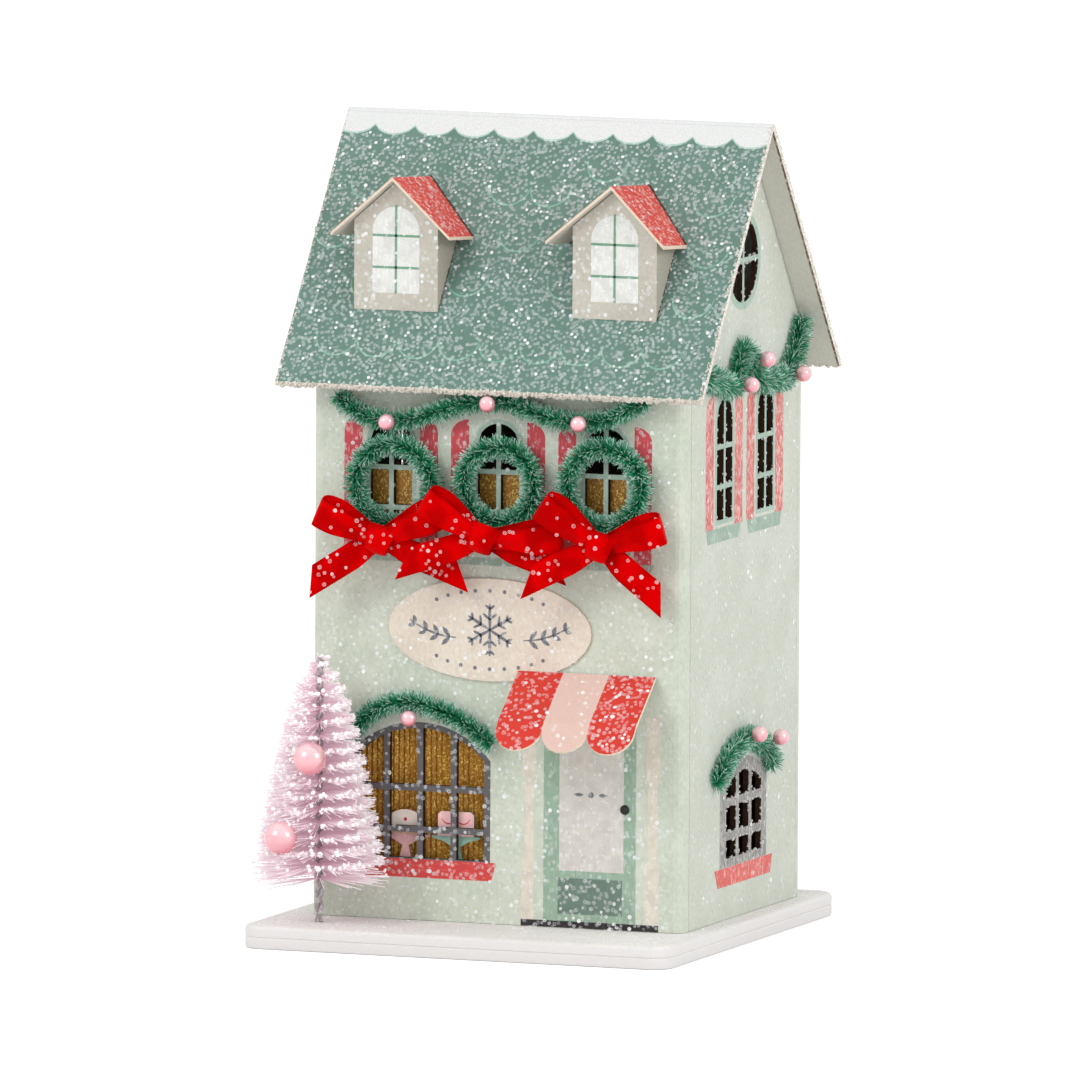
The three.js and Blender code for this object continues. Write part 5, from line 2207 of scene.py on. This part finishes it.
@dataclass
class Dormer:
    """One dormer with its printed window.

    Attributes:
        sink: How far its card sinks in a millimetre towards the back.
        clear: Height over the roof at which its card ends.
        window_half: Half the width of the printed window.
        window_rise: Height of the window's foot over the dormer's foot.
        bar_heights: Foot of each cross bar over the window's foot.
        lump: Radius of the lumps on the burnt edge.
    """

    shop: Workshop
    side: Side
    seed: int
    sink: float = 0.075
    clear: float = 0.02
    window_half: float = 6.1
    window_rise: float = 4.2
    window_height: float = 21.2
    bar_heights: Point = (6.0, 13.8)
    bar: float = 0.6
    lump: float = 0.26

    def lean(self, patch: BMesh) -> BMesh:
        """Lets a patch sink towards the back, as the dormers' card does.

        Args:
            patch: The patch.

        Returns:
            The same patch.
        """
        front = lows(f"{self.side.value}_dormer_body").y
        for vertex in patch.verts:
            vertex.co.z -= self.sink * (vertex.co.y - front)
        return patch

    def leaning(self, node: str) -> Mesh:
        """A copy of a solid that sinks towards the back and ends on the roof.

        Args:
            node: The solid.

        Returns:
            The mesh.
        """
        patch = self.lean(solid_faces(node))
        cut(patch, ROOF_FRONT.at(0, 0, self.clear), -ROOF_FRONT.outward)
        bmesh.ops.holes_fill(patch, edges=[edge for edge in patch.edges if edge.is_boundary])
        bmesh.ops.recalc_face_normals(patch, faces=patch.faces)
        return in_metres(node, patch)

    def burnt(self, node: str, aim: Vector, least: float, reach: float, density: float) -> list[Vector]:
        """Random points along the edge where a card meets the roof.

        Args:
            node: The card's solid.
            aim: Direction that the card's outer side faces.
            least: Smallest cosine between a face's normal and that direction.
            reach: Height over the roof that the points stay within.
            density: Points in a square millimetre.

        Returns:
            The points.
        """
        patch = self.lean(towards(node, aim, least))
        cut(patch, ROOF_FRONT.at(0, 0, self.clear), -ROOF_FRONT.outward)
        cut(patch, ROOF_FRONT.at(0, 0, reach), ROOF_FRONT.outward)
        return sprinkle(patch, density, self.seed + 3)[0]

    def window(self, body: str, face: Face) -> None:
        """Prints the panes and the bars.

        Args:
            body: The dormer's solid.
            face: Its front.
        """
        half, bar = self.window_half, self.bar / 2
        foot = lows(body).z + self.window_rise
        pane = arched(-half, half, foot, foot + self.window_height, half + 0.05)
        bars = [rect(-bar, bar, foot, foot + self.window_height + 0.4)]
        bars += [rect(-half, half, foot + rise, foot + rise + self.bar) for rise in self.bar_heights]
        for name, outlines, top, finish in (
            ("panes", [pane], 0.05, "pane_white"), ("bars", bars, 0.09, "pane_green"),
        ):
            form = Form()
            for outline in outlines:
                form.skin(trimmed(body, face, outline), face.outward, top)
            self.shop.piece(f"{self.side.value}_dormer_{name}", form, finish, "dormer_card")

    def build(self) -> None:
        """Makes the card body and roof, prints the window and browns the cut edges."""
        name = f"{self.side.value}_dormer"
        body, roof = f"{name}_body", f"{name}_roof"
        self.shop.piece(f"{body}_card", self.leaning(body), "greige_card", "dormer_card", [body])
        self.shop.piece(f"{roof}_card", self.leaning(roof), "dormer_roof_red", "dormer_roof_card", [roof])
        places = self.burnt(roof, Z, 0.4, 1.0, 12.0) + self.burnt(body, X, 0.9, 0.4, 9.0)
        self.shop.lumps(f"{name}_burnt_edge", places, self.lump, "burnt_lump", "dormer_card")
        low, high = lows(body), highs(body)
        face = Face(Vector(((low.x + high.x) / 2, low.y, 0)), X, Z, -Y)
        self.window(body, face)
        front = outer_faces(body, face)
        self.shop.dust(f"{name}_flakes", front, "dormer_card", 0.3, self.seed, dullness=0.42)
        slopes = self.lean(towards(roof, Z, 0.4))
        self.shop.dust(f"{name}_roof_flakes", slopes, "dormer_roof_card", 0.3, self.seed + 7)


@dataclass
class Awning:
    """The striped card awning over the door.

    Attributes:
        stripe: Left and right side of its pale stripe.
        aim: Direction that its outer side faces.
    """

    shop: Workshop
    stripe: Point = (19.2, 31.1)
    aim: tuple[float, float, float] = (0, -0.7, 0.7)

    def build(self) -> None:
        """Dresses the awning and dusts its stripes."""
        self.shop.dress("awning", "awning_stripes")
        left, right = (X * side for side in self.stripe)
        for name, cuts, density, seed, dullness in (
            ("left", [(left, X)], 0.6, 63, 1.0), ("right", [(right, -X)], 0.95, 63, 1.0),
            ("middle", [(left, -X), (right, X)], 0.1, 64, 0.5),
        ):
            patch = towards("awning", self.aim, 0.7)
            for point, away in cuts:
                cut(patch, point, away)
            self.shop.dust(f"awning_flakes_{name}", patch, "awning_card", density, seed, dullness=dullness)


@dataclass
class SignBoard:
    """The oval card over the shop window, with a plain ornament.

    Attributes:
        ring: Half the width and half the height of the ring of dots.
    """

    shop: Workshop
    middle: Point = (-0.2, 77.9)
    ring: Point = (20, 9.6)
    dot: float = 0.95

    def snowflake(self) -> list[list[Point]]:
        """A plain six-armed snowflake.

        Returns:
            The outlines of its strokes.
        """
        strokes: list[list[Point]] = []
        for k in range(6):
            angle = 90 + 60 * k
            arm = ray(self.middle, angle, 6.4)
            strokes.append(stroke(arm, 0.8))
            for start, length in ((arm[2], 2.2), (arm[4], 1.5)):
                strokes += [stroke(ray(start, angle + side, length), 0.65) for side in (-52, 52)]
        return strokes

    def sprig(self, side: int) -> list[list[Point]]:
        """A curved twig with leaves, on one side of the snowflake.

        Args:
            side: 1 for the right one and -1 for the left one.

        Returns:
            The outlines of its strokes and leaves.
        """
        x, z = self.middle
        stem = [(x + side * (8.8 + 1.5 * k), z - 2.2 + 0.06 * k * k) for k in range(9)]
        shapes = [stroke(stem, 0.5)]
        for k in range(1, 9, 2):
            for lean in (46, -46):
                angle = math.degrees(math.atan2(0.12 * k, 1.5)) + lean
                shapes.append(leaf(stem[k], angle if side > 0 else 180 - angle, 3.3 - 0.16 * k, 1.1))
        return shapes

    def dots(self) -> list[list[Point]]:
        """Two rows of dots, over the snowflake and under it.

        Returns:
            Their outlines.
        """
        rows: list[list[Point]] = []
        for turn in [math.radians(90 - 11 * k) for k in range(-4, 5)]:
            for sign in (-1, 1):
                x = self.middle[0] + self.ring[0] * math.cos(turn)
                z = self.middle[1] + sign * self.ring[1] * math.sin(turn)
                rows.append(oval((x, z), self.dot, self.dot, 14))
        return rows

    def build(self) -> None:
        """Dresses the card and prints the ornament."""
        self.shop.dress("sign_plate", "sign_card")
        face = Face(Vector((0, lows("sign_plate").y, 0)), X, Z, -Y)
        form = Form()
        for outline in [*self.snowflake(), *self.sprig(-1), *self.sprig(1), *self.dots()]:
            form.plate(face, outline, 0.05)
        self.shop.piece("sign_ornament", form, "sign_ink", "sign_card")
        self.shop.dust("sign_flakes", outer_faces("sign_plate", face), "sign_card", 0.2, 61, dullness=0.6)


@dataclass
class ShopWindow:
    """The gold cards, the two cakes behind the window and the door's knob."""

    shop: Workshop
    plate_top: float = 26.6
    icing_foot: float = 28.3

    def build(self) -> None:
        """Dresses the cards and the knob, and prints the cakes."""
        for node, finish in (
            ("upper_gold_card", "shaded_gold_card"), ("shop_gold_card", "gold_glitter_card"),
            ("left_cake", "pink_cake"), ("right_cake", "mint_cake"), ("door_knob", "black_stud"),
        ):
            self.shop.dress(node, finish)
        self.cakes()

    def cakes(self) -> None:
        """Prints a domed cake and a boxed one on their stands."""
        face = Face(Vector((0, lows("left_cake").y, 0)), X, Z, -Y)
        slot = "pink_cake_card"
        for name, node, box, finish in (
            ("domed_cake_icing", "left_cake", (-40, -10, self.icing_foot, 40), "cream_icing"),
            ("domed_cake_sponge", "left_cake", (-40, -10, self.plate_top, self.icing_foot), "cake_sponge"),
            ("boxed_cake_icing", "right_cake", (-30, 10, self.plate_top, 40), "pink_icing"),
        ):
            form = Form()
            form.skin(trimmed(node, face, rect(*box)), face.outward, 0.04)
            self.shop.piece(name, form, finish, slot)
        drips = Form()
        for k in range(4):
            drips.plate(face, oval((-26.0 + 2.1 * k, self.icing_foot), 1.7, 2.2, 20), 0.06)
        self.shop.piece("domed_cake_drips", drips, "cream_icing", slot)
        trims = Form()
        trims.plate(face, oval((-22.9, 30.2), 0.9, 0.9, 16), 0.07)
        for k in range(2):
            swag = arc((-11.6 + 3.8 * k, 31.4), 1.8, 200, 340, 8)
            trims.plate(face, stroke(swag, 0.3), 0.07)
        self.shop.piece("cake_trims", trims, "cherry_red", slot)


@dataclass
class Garland:
    """A chenille stem along a wall.

    Attributes:
        name: The node that it stands for.
        knots: Points that it goes through.
        radius: How far its bristles reach.
        per_mm: Bristles in a millimetre of its length.
        against: The wall that presses its bristles flat.
        gap: Least distance of a bristle from that wall.
    """

    shop: Workshop
    name: str
    knots: Sequence[Vector]
    radius: float
    seed: int
    closed: bool = False
    per_mm: float = 52.0
    against: Face | None = None
    gap: float = 0.12

    def build(self) -> None:
        """Makes the bristles."""
        line = list(self.knots) if self.closed else centripetal(self.knots, 8)
        length = sum((b - a).length for a, b in zip(line, line[1:]))
        mesh = self.shop.chenille.bake(f"{self.name}_bristles", curve_of(self.name, line, self.closed), {
            "Count": int(length * self.per_mm), "Length": self.radius * MM, "Root": 0.17 * MM,
            "Lean": 0.6, "Seed": self.seed,
        })
        if self.against is not None:
            for vertex in mesh.vertices:
                off = (vertex.co / MM - self.against.origin).dot(self.against.outward)
                if off < self.gap:
                    vertex.co += self.against.outward * (self.gap - off) * MM
        self.shop.piece(f"{self.name}_bristles", mesh, "green_chenille_hair", "green_chenille", [self.name])


def bead_profile(radius: float) -> list[Point]:
    """Section of a bead with a small bored dimple at each end.

    Args:
        radius: The bead's radius.

    Returns:
        Points, as distances from the bore's middle line and along it.
    """
    bore = radius * 0.16
    start = math.degrees(math.asin(bore / radius))
    round_part = arc((0, 0), radius, -90 + start, 90 - start, 18)
    end = radius * math.cos(math.radians(start))
    return [(0, -end * 0.86), (bore * 0.6, -end * 0.9), *round_part, (bore * 0.6, end * 0.9), (0, end * 0.86)]


@dataclass
class Beads:
    """The pearl beads, each in place of its solid.

    Attributes:
        nestle: How far the beads on the gables sit back in their garland.
    """

    shop: Workshop
    nestle: float = 1.5
    bore: tuple[float, float, float] = (0.55, 0.25, 0.8)

    def build(self) -> None:
        """Turns a bead for every pearl solid."""
        axis = Vector(self.bore).normalized()
        for node in sorted(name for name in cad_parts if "bead" in name):
            low, high = lows(node), highs(node)
            centre = (low + high) / 2
            if not LEFT_X < centre.x < RIGHT_X and centre.y > FRONT_Y:
                centre.x -= math.copysign(self.nestle, centre.x - MIDDLE_X)
            form = Form()
            form.lathe(bead_profile((high.z - low.z) / 2), centre, axis)
            self.shop.piece(f"{node}_pearl", form, "pink_pearl", "pearl", [node], 50)


def eased(share: float) -> float:
    """A soft rise from 0 to 1, and 1 past that."""
    opened = min(1.0, share)
    return opened * opened * (3 - 2 * opened)


@dataclass
class Bow:
    """A satin bow: two loops, two tails and a knot.

    Attributes:
        name: left, middle or right.
        knot: Where the knot's middle is.
        loops: Angle in degrees and length of each loop.
        tails: Angle in degrees, length and slant of the cut end of each tail.
        ribbon: Thickness of the ribbon.
        turn: Angle in radians that the bow is turned to the right about Z.
        knot_angle: Slant of the knot in degrees.
        heap: Radius of a heap of flakes.
        stray: Share of the faces outside the heaps that carry flakes too.
    """

    shop: Workshop
    name: str
    knot: Vector
    loops: tuple[tuple[float, float], ...]
    tails: tuple[tuple[float, float, float], ...]
    seed: int
    width: float = 6.6
    ribbon: float = 0.32
    turn: float = math.radians(7)
    knot_angle: float = -18
    heap: float = 4.2
    stray: float = 0.18

    def place(self, angle: float, along: float, across: float, forward: float) -> Vector:
        """A point of the bow.

        Args:
            angle: Direction in the bow's plane, in degrees.
            along: Distance from the knot in that direction.
            across: Distance square to it in the plane.
            forward: Distance out of the plane towards the viewer.

        Returns:
            The point on the house.
        """
        cosine, sine = math.cos(math.radians(angle)), math.sin(math.radians(angle))
        flat = Vector((along * cosine - across * sine, -forward, along * sine + across * cosine))
        return self.knot + Matrix.Rotation(self.turn, 3, "Z") @ flat

    def strip(self, form: Form, rows: int, columns: int, point: Callable[[float, float], Vector]) -> None:
        """Adds a strip of ribbon.

        Args:
            form: What it is added to.
            rows: Stretches along it.
            columns: Points across it.
            point: The place of a point, from its share along the strip and its place from -1 to 1 across.
        """
        grid = [[point(i / rows, 2 * j / (columns - 1) - 1) for j in range(columns)] for i in range(rows + 1)]
        form.slab(grid, self.ribbon, self.width)

    def loop(self, form: Form, angle: float, length: float) -> None:
        """Adds one loop, whose back layer shows above its front one.

        Args:
            form: What it is added to.
            angle: Its direction in degrees.
            length: Its length.
        """
        up = 1 if math.cos(math.radians(angle)) > 0 else -1

        def point(s: float, v: float) -> Vector:
            """The place of one point, the first half of the loop being at the back.

            Args:
                s: Share along the strip.
                v: Place across it, from -1 to 1.

            Returns:
                The point on the house.
            """
            out = 1 - abs(2 * s - 1)
            front = 1 if s > 0.5 else -1
            reach = length * math.sin(out * math.pi / 2) ** 0.85
            opened = eased(out / 0.5)
            puff = math.sin(math.pi * min(out, 0.93)) ** 0.7
            shift = up * puff * (-0.35 if front > 0 else 1.5)
            pleat = (1 - opened) * 0.45 * math.cos(math.pi * v * 1.5)
            bulge = 0.3 * (1 - v * v) * opened
            tilt = 0.35 * v * up * puff * front
            depth = front * (0.25 + (1.2 if front > 0 else 0.6) * puff + bulge) + pleat + tilt
            width = self.width * (0.62 + 0.42 * opened)
            return self.place(angle, reach, v * width / 2 + shift, depth)

        self.strip(form, 44, 9, point)

    def tail(self, form: Form, angle: float, length: float, slant: float, back: float) -> None:
        """Adds one tail, set back behind the loops.

        Args:
            form: What it is added to.
            angle: Its direction in degrees.
            length: Its length.
            slant: Slant of its cut end.
            back: Its distance behind the knot.
        """

        def point(s: float, v: float) -> Vector:
            """The place of one point, from the knot to the cut end.

            Args:
                s: Share along the strip.
                v: Place across it, from -1 to 1.

            Returns:
                The point on the house.
            """
            opened = eased(s / 0.4)
            width = self.width * (0.6 + 0.4 * opened)
            pleat = (1 - opened) * 0.4 * math.cos(math.pi * v * 1.5)
            wave = 0.5 * math.sin(s * 4.2) + 0.35 * v * math.sin(s * 3.0)
            return self.place(angle, s * (length + slant * v), v * width / 2, pleat + wave - back)

        self.strip(form, 26, 9, point)

    def wrap(self, form: Form) -> None:
        """Adds the knot, a band wound over the top of the middle and under it.

        Args:
            form: What it is added to.
        """

        def point(s: float, v: float) -> Vector:
            """The place of one point, once round the middle.

            Args:
                s: Share along the strip.
                v: Place across it, from -1 to 1.

            Returns:
                The point on the house.
            """
            turn = math.tau * s
            forward = 1.7 * math.sin(turn) * (1 - 0.12 * v * v)
            height = 3.5 * math.cos(turn) * (1 - 0.1 * v * v)
            pinch = 1.12 - 0.3 * (1 - math.cos(turn)) / 2
            crease = 0.12 * math.sin(4 * v + 1.5 * turn)
            return self.place(self.knot_angle, v * 3.3 * pinch, height, forward + crease)

        self.strip(form, 30, 11, point)

    def build(self) -> None:
        """Makes the bow as one piece of ribbon and dusts its front."""
        form = Form()
        for k, (angle, length, slant) in enumerate(self.tails):
            self.tail(form, angle, length, slant, 0.9 + 0.25 * k)
        for angle, length in self.loops:
            self.loop(form, angle, length)
        self.wrap(form)
        mesh = form.mesh("bow", 40)
        patch = bmesh.new()
        patch.from_mesh(mesh)
        bmesh.ops.scale(patch, vec=(1 / MM,) * 3, verts=patch.verts)
        heaps = [self.place(angle, reach * 0.72, 0, 0) for angle, reach, _ in self.tails]
        heaps += [self.place(angle, reach * 0.25, 0, 0) for angle, reach in self.loops[:1]]
        chance = random.Random(self.seed)

        def dusty(f: bmesh.types.BMFace) -> bool:
            """Whether a face looks forward and lies in a heap, or is one of the stray ones."""
            near = min((f.calc_center_median() - heap).length for heap in heaps) < self.heap
            return f.normal.y <= -0.75 and (near or chance.random() < self.stray)

        only(patch, dusty)
        self.shop.piece(f"satin_bow_{self.name}", mesh, "red_satin_weave", "red_satin", [f"bow_{self.name}"])
        flakes = f"bow_{self.name}_flakes"
        self.shop.dust(flakes, patch, "red_satin", 0.24, self.seed, dullness=0.7, finish="satin_flake")


@dataclass
class BrushTree:
    """The bottle-brush tree on its twisted wire.

    Attributes:
        wire_turn: Height in which the wires go round once.
        wire: Radius of each wire.
        reach: Radius of the brush at its foot.
        pitch: Height of one turn of the brush.
        count: Hairs that are tried.
        viewer: Direction of the photograph's camera in radians, where the brush is thinner.
        thinned: Share of the hairs left out on that side.
    """

    shop: Workshop
    x: float = -39.7
    y: float = -47.3
    foot: float = BASE_TOP + 0.1
    top: float = 70.5
    wire_turn: float = 7.0
    wire: float = 0.55
    brush_foot: float = 17.0
    reach: float = 16.4
    pitch: float = 3.5
    count: int = 9000
    viewer: float = math.radians(20.7 - 90)
    thinned: float = 0.62

    def radius(self, z: float) -> float:
        """How far the brush reaches at a height."""
        share = (z - self.brush_foot) / (self.top - self.brush_foot)
        return self.reach * math.sqrt(max(1 - share, 0.02))

    def stem(self) -> None:
        """Twists the two wires."""
        form = Form()
        steps = 180
        for side in (0, math.pi):
            path = []
            for i in range(steps + 1):
                z = self.foot + (self.top - self.foot) * i / steps
                turn = math.tau * (z - self.foot) / self.wire_turn + side
                x, y = self.x + self.wire * math.cos(turn), self.y + self.wire * math.sin(turn)
                path.append(Vector((x, y, z)))
            form.tube(path, self.wire)
        self.shop.piece("tree_twisted_wire", form, "dark_wire", "twisted_wire", ["tree_wire"], 60)

    def allowed(self, angle: float, reach: float) -> float:
        """Shortens a hair that would run into the wall or the garland behind.

        Args:
            angle: Direction of the hair in radians.
            reach: Its length.

        Returns:
            The length that it may have.
        """
        if math.sin(angle) <= 0.05:
            return reach
        short = min(reach, (FRONT_Y - 0.5 - self.y) / math.sin(angle))
        return short if self.x + short * math.cos(angle) > LEFT_X - 1 else reach

    def build(self) -> None:
        """Makes the stem, the hairs and the flock."""
        self.stem()
        chance = random.Random(7)
        places: list[Vector] = []
        aims: list[Vector] = []
        tips: list[Vector] = []
        height = self.top - self.brush_foot
        for _ in range(self.count):
            angle = chance.uniform(0, math.tau)
            share = 1 - (1 - chance.random()) ** 0.64
            if math.cos(angle - self.viewer) > 0.85 and chance.random() < self.thinned:
                continue
            leftward = max(-math.sin(angle - self.viewer), 0)
            turns = angle / math.tau
            shelf = round(height * share / self.pitch - turns)
            z = self.brush_foot + self.pitch * (shelf + turns) + chance.gauss(0, 0.17 + 0.5 * leftward)
            z = min(max(z, self.brush_foot - 0.4), self.top - 0.3)
            low = z < self.brush_foot + 3
            if low and chance.random() < 0.6:
                continue
            reach = self.allowed(angle, self.radius(z) * chance.uniform(0.82, 1.1 if low else 1.04))
            rise = chance.gauss(0.1, 0.5 + 0.7 * leftward) - (chance.uniform(0, 1.6) if low else 0)
            aim = Vector((math.cos(angle) * reach, math.sin(angle) * reach, rise))
            root = Vector((self.x, self.y, z))
            places.append(root)
            aims.append(aim)
            if rise > -0.1 and chance.random() < 0.42 - 0.2 * leftward:
                tips.append(root + aim * chance.uniform(0.78, 1.0) + Z * 0.15)
        mesh = self.shop.hair.bake("tree_hair", points_of("tree", places, aims), {
            "Root": 0.15 * MM, "Taper": 0.7, "Seed": 71,
        })
        self.shop.piece("tree_lilac_hair", mesh, "lilac_hair", "lilac_bristle", ["tree_brush"])
        flock = self.shop.lumps("tree_white_flock", tips, 0.55, "white_flock", "lilac_bristle")
        flock.visible_shadow = False


# Distances of the garlands' stems from the front wall and from the gables
FRONT_OUT = 2.8
GABLE_OUT = 1.3


def on_front(middle: float, head: float, path: Route) -> list[Vector]:
    """Knots of a garland that hangs on the front wall."""
    return [Vector((middle + k[0], FRONT_Y - FRONT_OUT, head + k[1])) for k in path]


def on_gable(wall: float, side: int, head: float, path: Route) -> list[Vector]:
    """Knots of a garland that hangs on a gable wall."""
    return [Vector((wall + side * GABLE_OUT, RIDGE_Y + k[0], head + k[1])) for k in path]


@dataclass
class Trimmings:
    """Wreaths, garlands, bows and beads.

    Attributes:
        wreaths: Name, middle, height and radius of each wreath.
        wreath_tuft: How far a wreath's bristles reach.
        wreath_out: Distance of a wreath from the wall.
        bows: Name, knot, loops and tails of each bow, as in Bow.
        eave: Route of the garland under the eaves, from the middle of the house.
        shop_arch: Route of the garland over the shop window.
        gable_upper: Route of a gable's upper garland, from the middle of the wall.
        gable_lower: Route of its lower garland.
    """

    shop: Workshop
    wreaths: tuple[tuple[str, float, float, float], ...] = (
        ("left", -24.4, 112.8, 9.8), ("middle", 3.0, 113.8, 9.2), ("right", 30.4, 114.2, 9.6),
    )
    wreath_tuft: float = 3.4
    wreath_out: float = 3.7
    bows: tuple[tuple[Any, ...], ...] = (
        ("left", (-26.0, -43.34, 99.7), ((157, 16.8), (24, 17.4)), ((212, 20.6, 2.4), (-22, 22, -3))),
        ("middle", (1.0, -43.34, 101.0), ((148, 17.4), (2, 20)), ((198, 21.5, 3.0), (-20, 20, -3))),
        ("right", (31.2, -43.34, 100.3), ((146, 17.6), (17, 16.6)), ((206, 20.4, 3.4), (-40, 19.6, -2.8))),
    )
    eave: Route = (
        (-41, 5.3), (-37.2, 2.5), (-33, 0.6), (-26.4, -0.2), (-21, 0.7), (-14.2, 2.8), (-7.5, 4.8),
        (-0.2, 5.8), (5.6, 5), (11.8, 2.9), (17.5, 1.7), (23.5, 1.4), (28.8, 2.4), (33.8, 4.6), (39, 7.2),
    )
    shop_arch: Route = (
        (-19.4, -5.1), (-16.2, -0.7), (-12.1, 3.2), (-7.9, 5.6), (-0.9, 6.5), (5.4, 5), (10.7, 2.9),
        (15.2, 0.4), (19.4, -3),
    )
    gable_upper: Route = (
        (-33.5, 7.2), (-22.6, 4.7), (-12.2, 2.8), (-9.2, 6.8), (-5.4, 10.8), (-0.9, 7.9), (4, 3.4),
        (16.3, 1.6), (24.6, 2), (29.6, 6.1), (33.2, 10.8), (35.2, 14.4),
    )
    gable_lower: Route = (
        (-22.0, 1.0), (-18.4, 4.2), (-12.4, 7.5), (-4.8, 9.6), (2.2, 9.8), (10.3, 7.2), (14.8, 4.5),
        (17.0, 1.4),
    )

    def build(self) -> None:
        """Makes them all."""
        for k, (name, x, z, radius) in enumerate(self.wreaths):
            ring = arc((0, 0), radius, 0, 360 - 7.5, 47)
            knots = [Vector((x + a, FRONT_Y - self.wreath_out, z + b)) for a, b in ring]
            Garland(self.shop, f"wreath_{name}", knots, self.wreath_tuft, 80 + k, True, 60).build()
        Garland(self.shop, "eave_garland", on_front(MIDDLE_X, 128.4, self.eave), 3.1, 91).build()
        Garland(self.shop, "shop_garland", on_front(-18.4, 53, self.shop_arch), 3.2, 92).build()
        for side, wall, sign, face in ((Side.RIGHT, RIGHT_X, 1, RIGHT), (Side.LEFT, LEFT_X, -1, LEFT)):
            for level, head, route, radius, seed, per_mm in (
                ("upper", 134.2, self.gable_upper, 3.9, 93, 66),
                ("lower", 39.4, self.gable_lower, 3.4, 94, 62),
            ):
                node = f"{side.value}_{level}_garland"
                knots = on_gable(wall, sign, head, route)
                Garland(self.shop, node, knots, radius, seed, per_mm=per_mm, against=face).build()
        Beads(self.shop).build()
        for seed, (name, knot, loops, tails) in enumerate(self.bows, 65):
            Bow(self.shop, name, Vector(knot), loops, tails, seed).build()


@dataclass
class Studio:
    """The pale floor, the soft lamps and the camera.

    Attributes:
        turn: Direction of the camera about Z, from the front, in radians.
        rise: Its height over the horizon in radians.
        roll: Its tilt in radians.
        distance: Its distance from the target.
        target: The point that it looks at.
        floor_half: Half the floor's width in metres.
    """

    turn: float = math.radians(20.735)
    rise: float = math.radians(6.299)
    roll: float = math.radians(0.317)
    distance: float = 6000.0
    target: Vector = field(default_factory=lambda: Vector((-0.594, 0.0, 96.346)))
    lens: float = 817.6
    floor_half: float = 6.0

    def floor(self) -> None:
        """A wide pale floor that keeps the object's shadow."""
        mesh = bpy.data.meshes.new("floor")
        half = self.floor_half
        mesh.from_pydata([(x, y, 0) for x, y in rect(-half, half, -half, half)], [], [(0, 1, 2, 3)])
        box = Paintbox("studio_floor")
        mesh.materials.append(box.finish(
            Base_Color=(0.93, 0.93, 0.93), Roughness=0.9, Specular_IOR_Level=0.0,
            Emission_Color=(1.0, 1.0, 1.0), Emission_Strength=box.times(box.seen(), 0.35),
        ))
        floor = bpy.data.objects.new("studio_floor", mesh)
        bpy.context.scene.collection.objects.link(floor)
        floor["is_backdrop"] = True

    def world(self) -> None:
        """A white surround, plain white to the camera and softer on the object."""
        world = bpy.data.worlds.new("studio")
        world.use_nodes = True
        world.node_tree.nodes.clear()
        wiring = Wiring(world.node_tree)
        level = wiring.add("ShaderNodeMapRange", {"Value": wiring.seen(), "To Min": 0.88, "To Max": 1.0})
        background = wiring.add("ShaderNodeBackground", {"Color": (1, 1, 1, 1), "Strength": level.outputs[0]})
        wiring.add("ShaderNodeOutputWorld", {"Surface": background.outputs[0]})
        bpy.context.scene.world = world

    def lamp(self, name: str, place: Vector, size: float, power: float) -> None:
        """A soft square lamp that looks at the house.

        Args:
            name: Its name.
            place: Where it hangs, in metres.
            size: Its width in metres.
            power: Its power in watts.
        """
        light = bpy.data.lights.new(name, "AREA")
        light.size = size
        light.energy = power
        lamp = bpy.data.objects.new(name, light)
        lamp.location = place
        lamp.rotation_euler = (Vector((0, 0, 0.1)) - place).to_track_quat("-Z", "Y").to_euler()
        bpy.context.scene.collection.objects.link(lamp)

    def camera(self) -> None:
        """The camera at the photograph's angle."""
        level = math.cos(self.rise)
        back = Vector((math.sin(self.turn) * level, -math.cos(self.turn) * level, math.sin(self.rise)))
        right = (-back).cross(Z).normalized()
        up = right.cross(-back)
        right_rolled = right * math.cos(self.roll) + up * math.sin(self.roll)
        up_rolled = -right * math.sin(self.roll) + up * math.cos(self.roll)
        data = bpy.data.cameras.new("photo_camera")
        data.lens = self.lens
        data.sensor_width = 36.0
        data.clip_start = 0.5
        data.clip_end = 60.0
        camera = bpy.data.objects.new("photo_camera", data)
        rotation = Matrix((right_rolled, up_rolled, back)).transposed().to_4x4()
        camera.matrix_world = Matrix.Translation((self.target + back * self.distance) * MM) @ rotation
        bpy.context.scene.collection.objects.link(camera)
        bpy.context.scene.camera = camera

    def build(self) -> None:
        """Sets up the studio."""
        self.floor()
        self.world()
        self.lamp("key", Vector((-0.9, -1.6, 1.3)), 0.7, 11.0)
        self.lamp("side", Vector((1.8, -0.5, 0.9)), 0.7, 10.0)
        self.camera()
        bpy.context.scene.view_settings.view_transform = "Standard"


def corners(box: tuple[Vector, Vector]) -> list[list[float]]:
    """A box as plain lists of numbers."""
    return [list(box[0]), list(box[1])]


def main() -> None:
    """Builds the house, one sub-assembly after another."""
    logging.basicConfig(level=logging.INFO, format="%(name)s: %(message)s")
    solid_box = corners(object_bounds())
    Studio().build()
    shop = Workshop()
    for part in (
        BaseBoard(shop), FrontFacade(shop), GableFacade(shop, Side.RIGHT, RIGHT, 33),
        GableFacade(shop, Side.LEFT, LEFT, 34), BackWall(shop), Roof(shop), Dormer(shop, Side.LEFT, 51),
        Dormer(shop, Side.RIGHT, 52), Awning(shop), SignBoard(shop), ShopWindow(shop), Trimmings(shop),
        BrushTree(shop),
    ):
        part.build()
    dressed_box = corners(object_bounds())


if __name__ == "__main__":
    main()
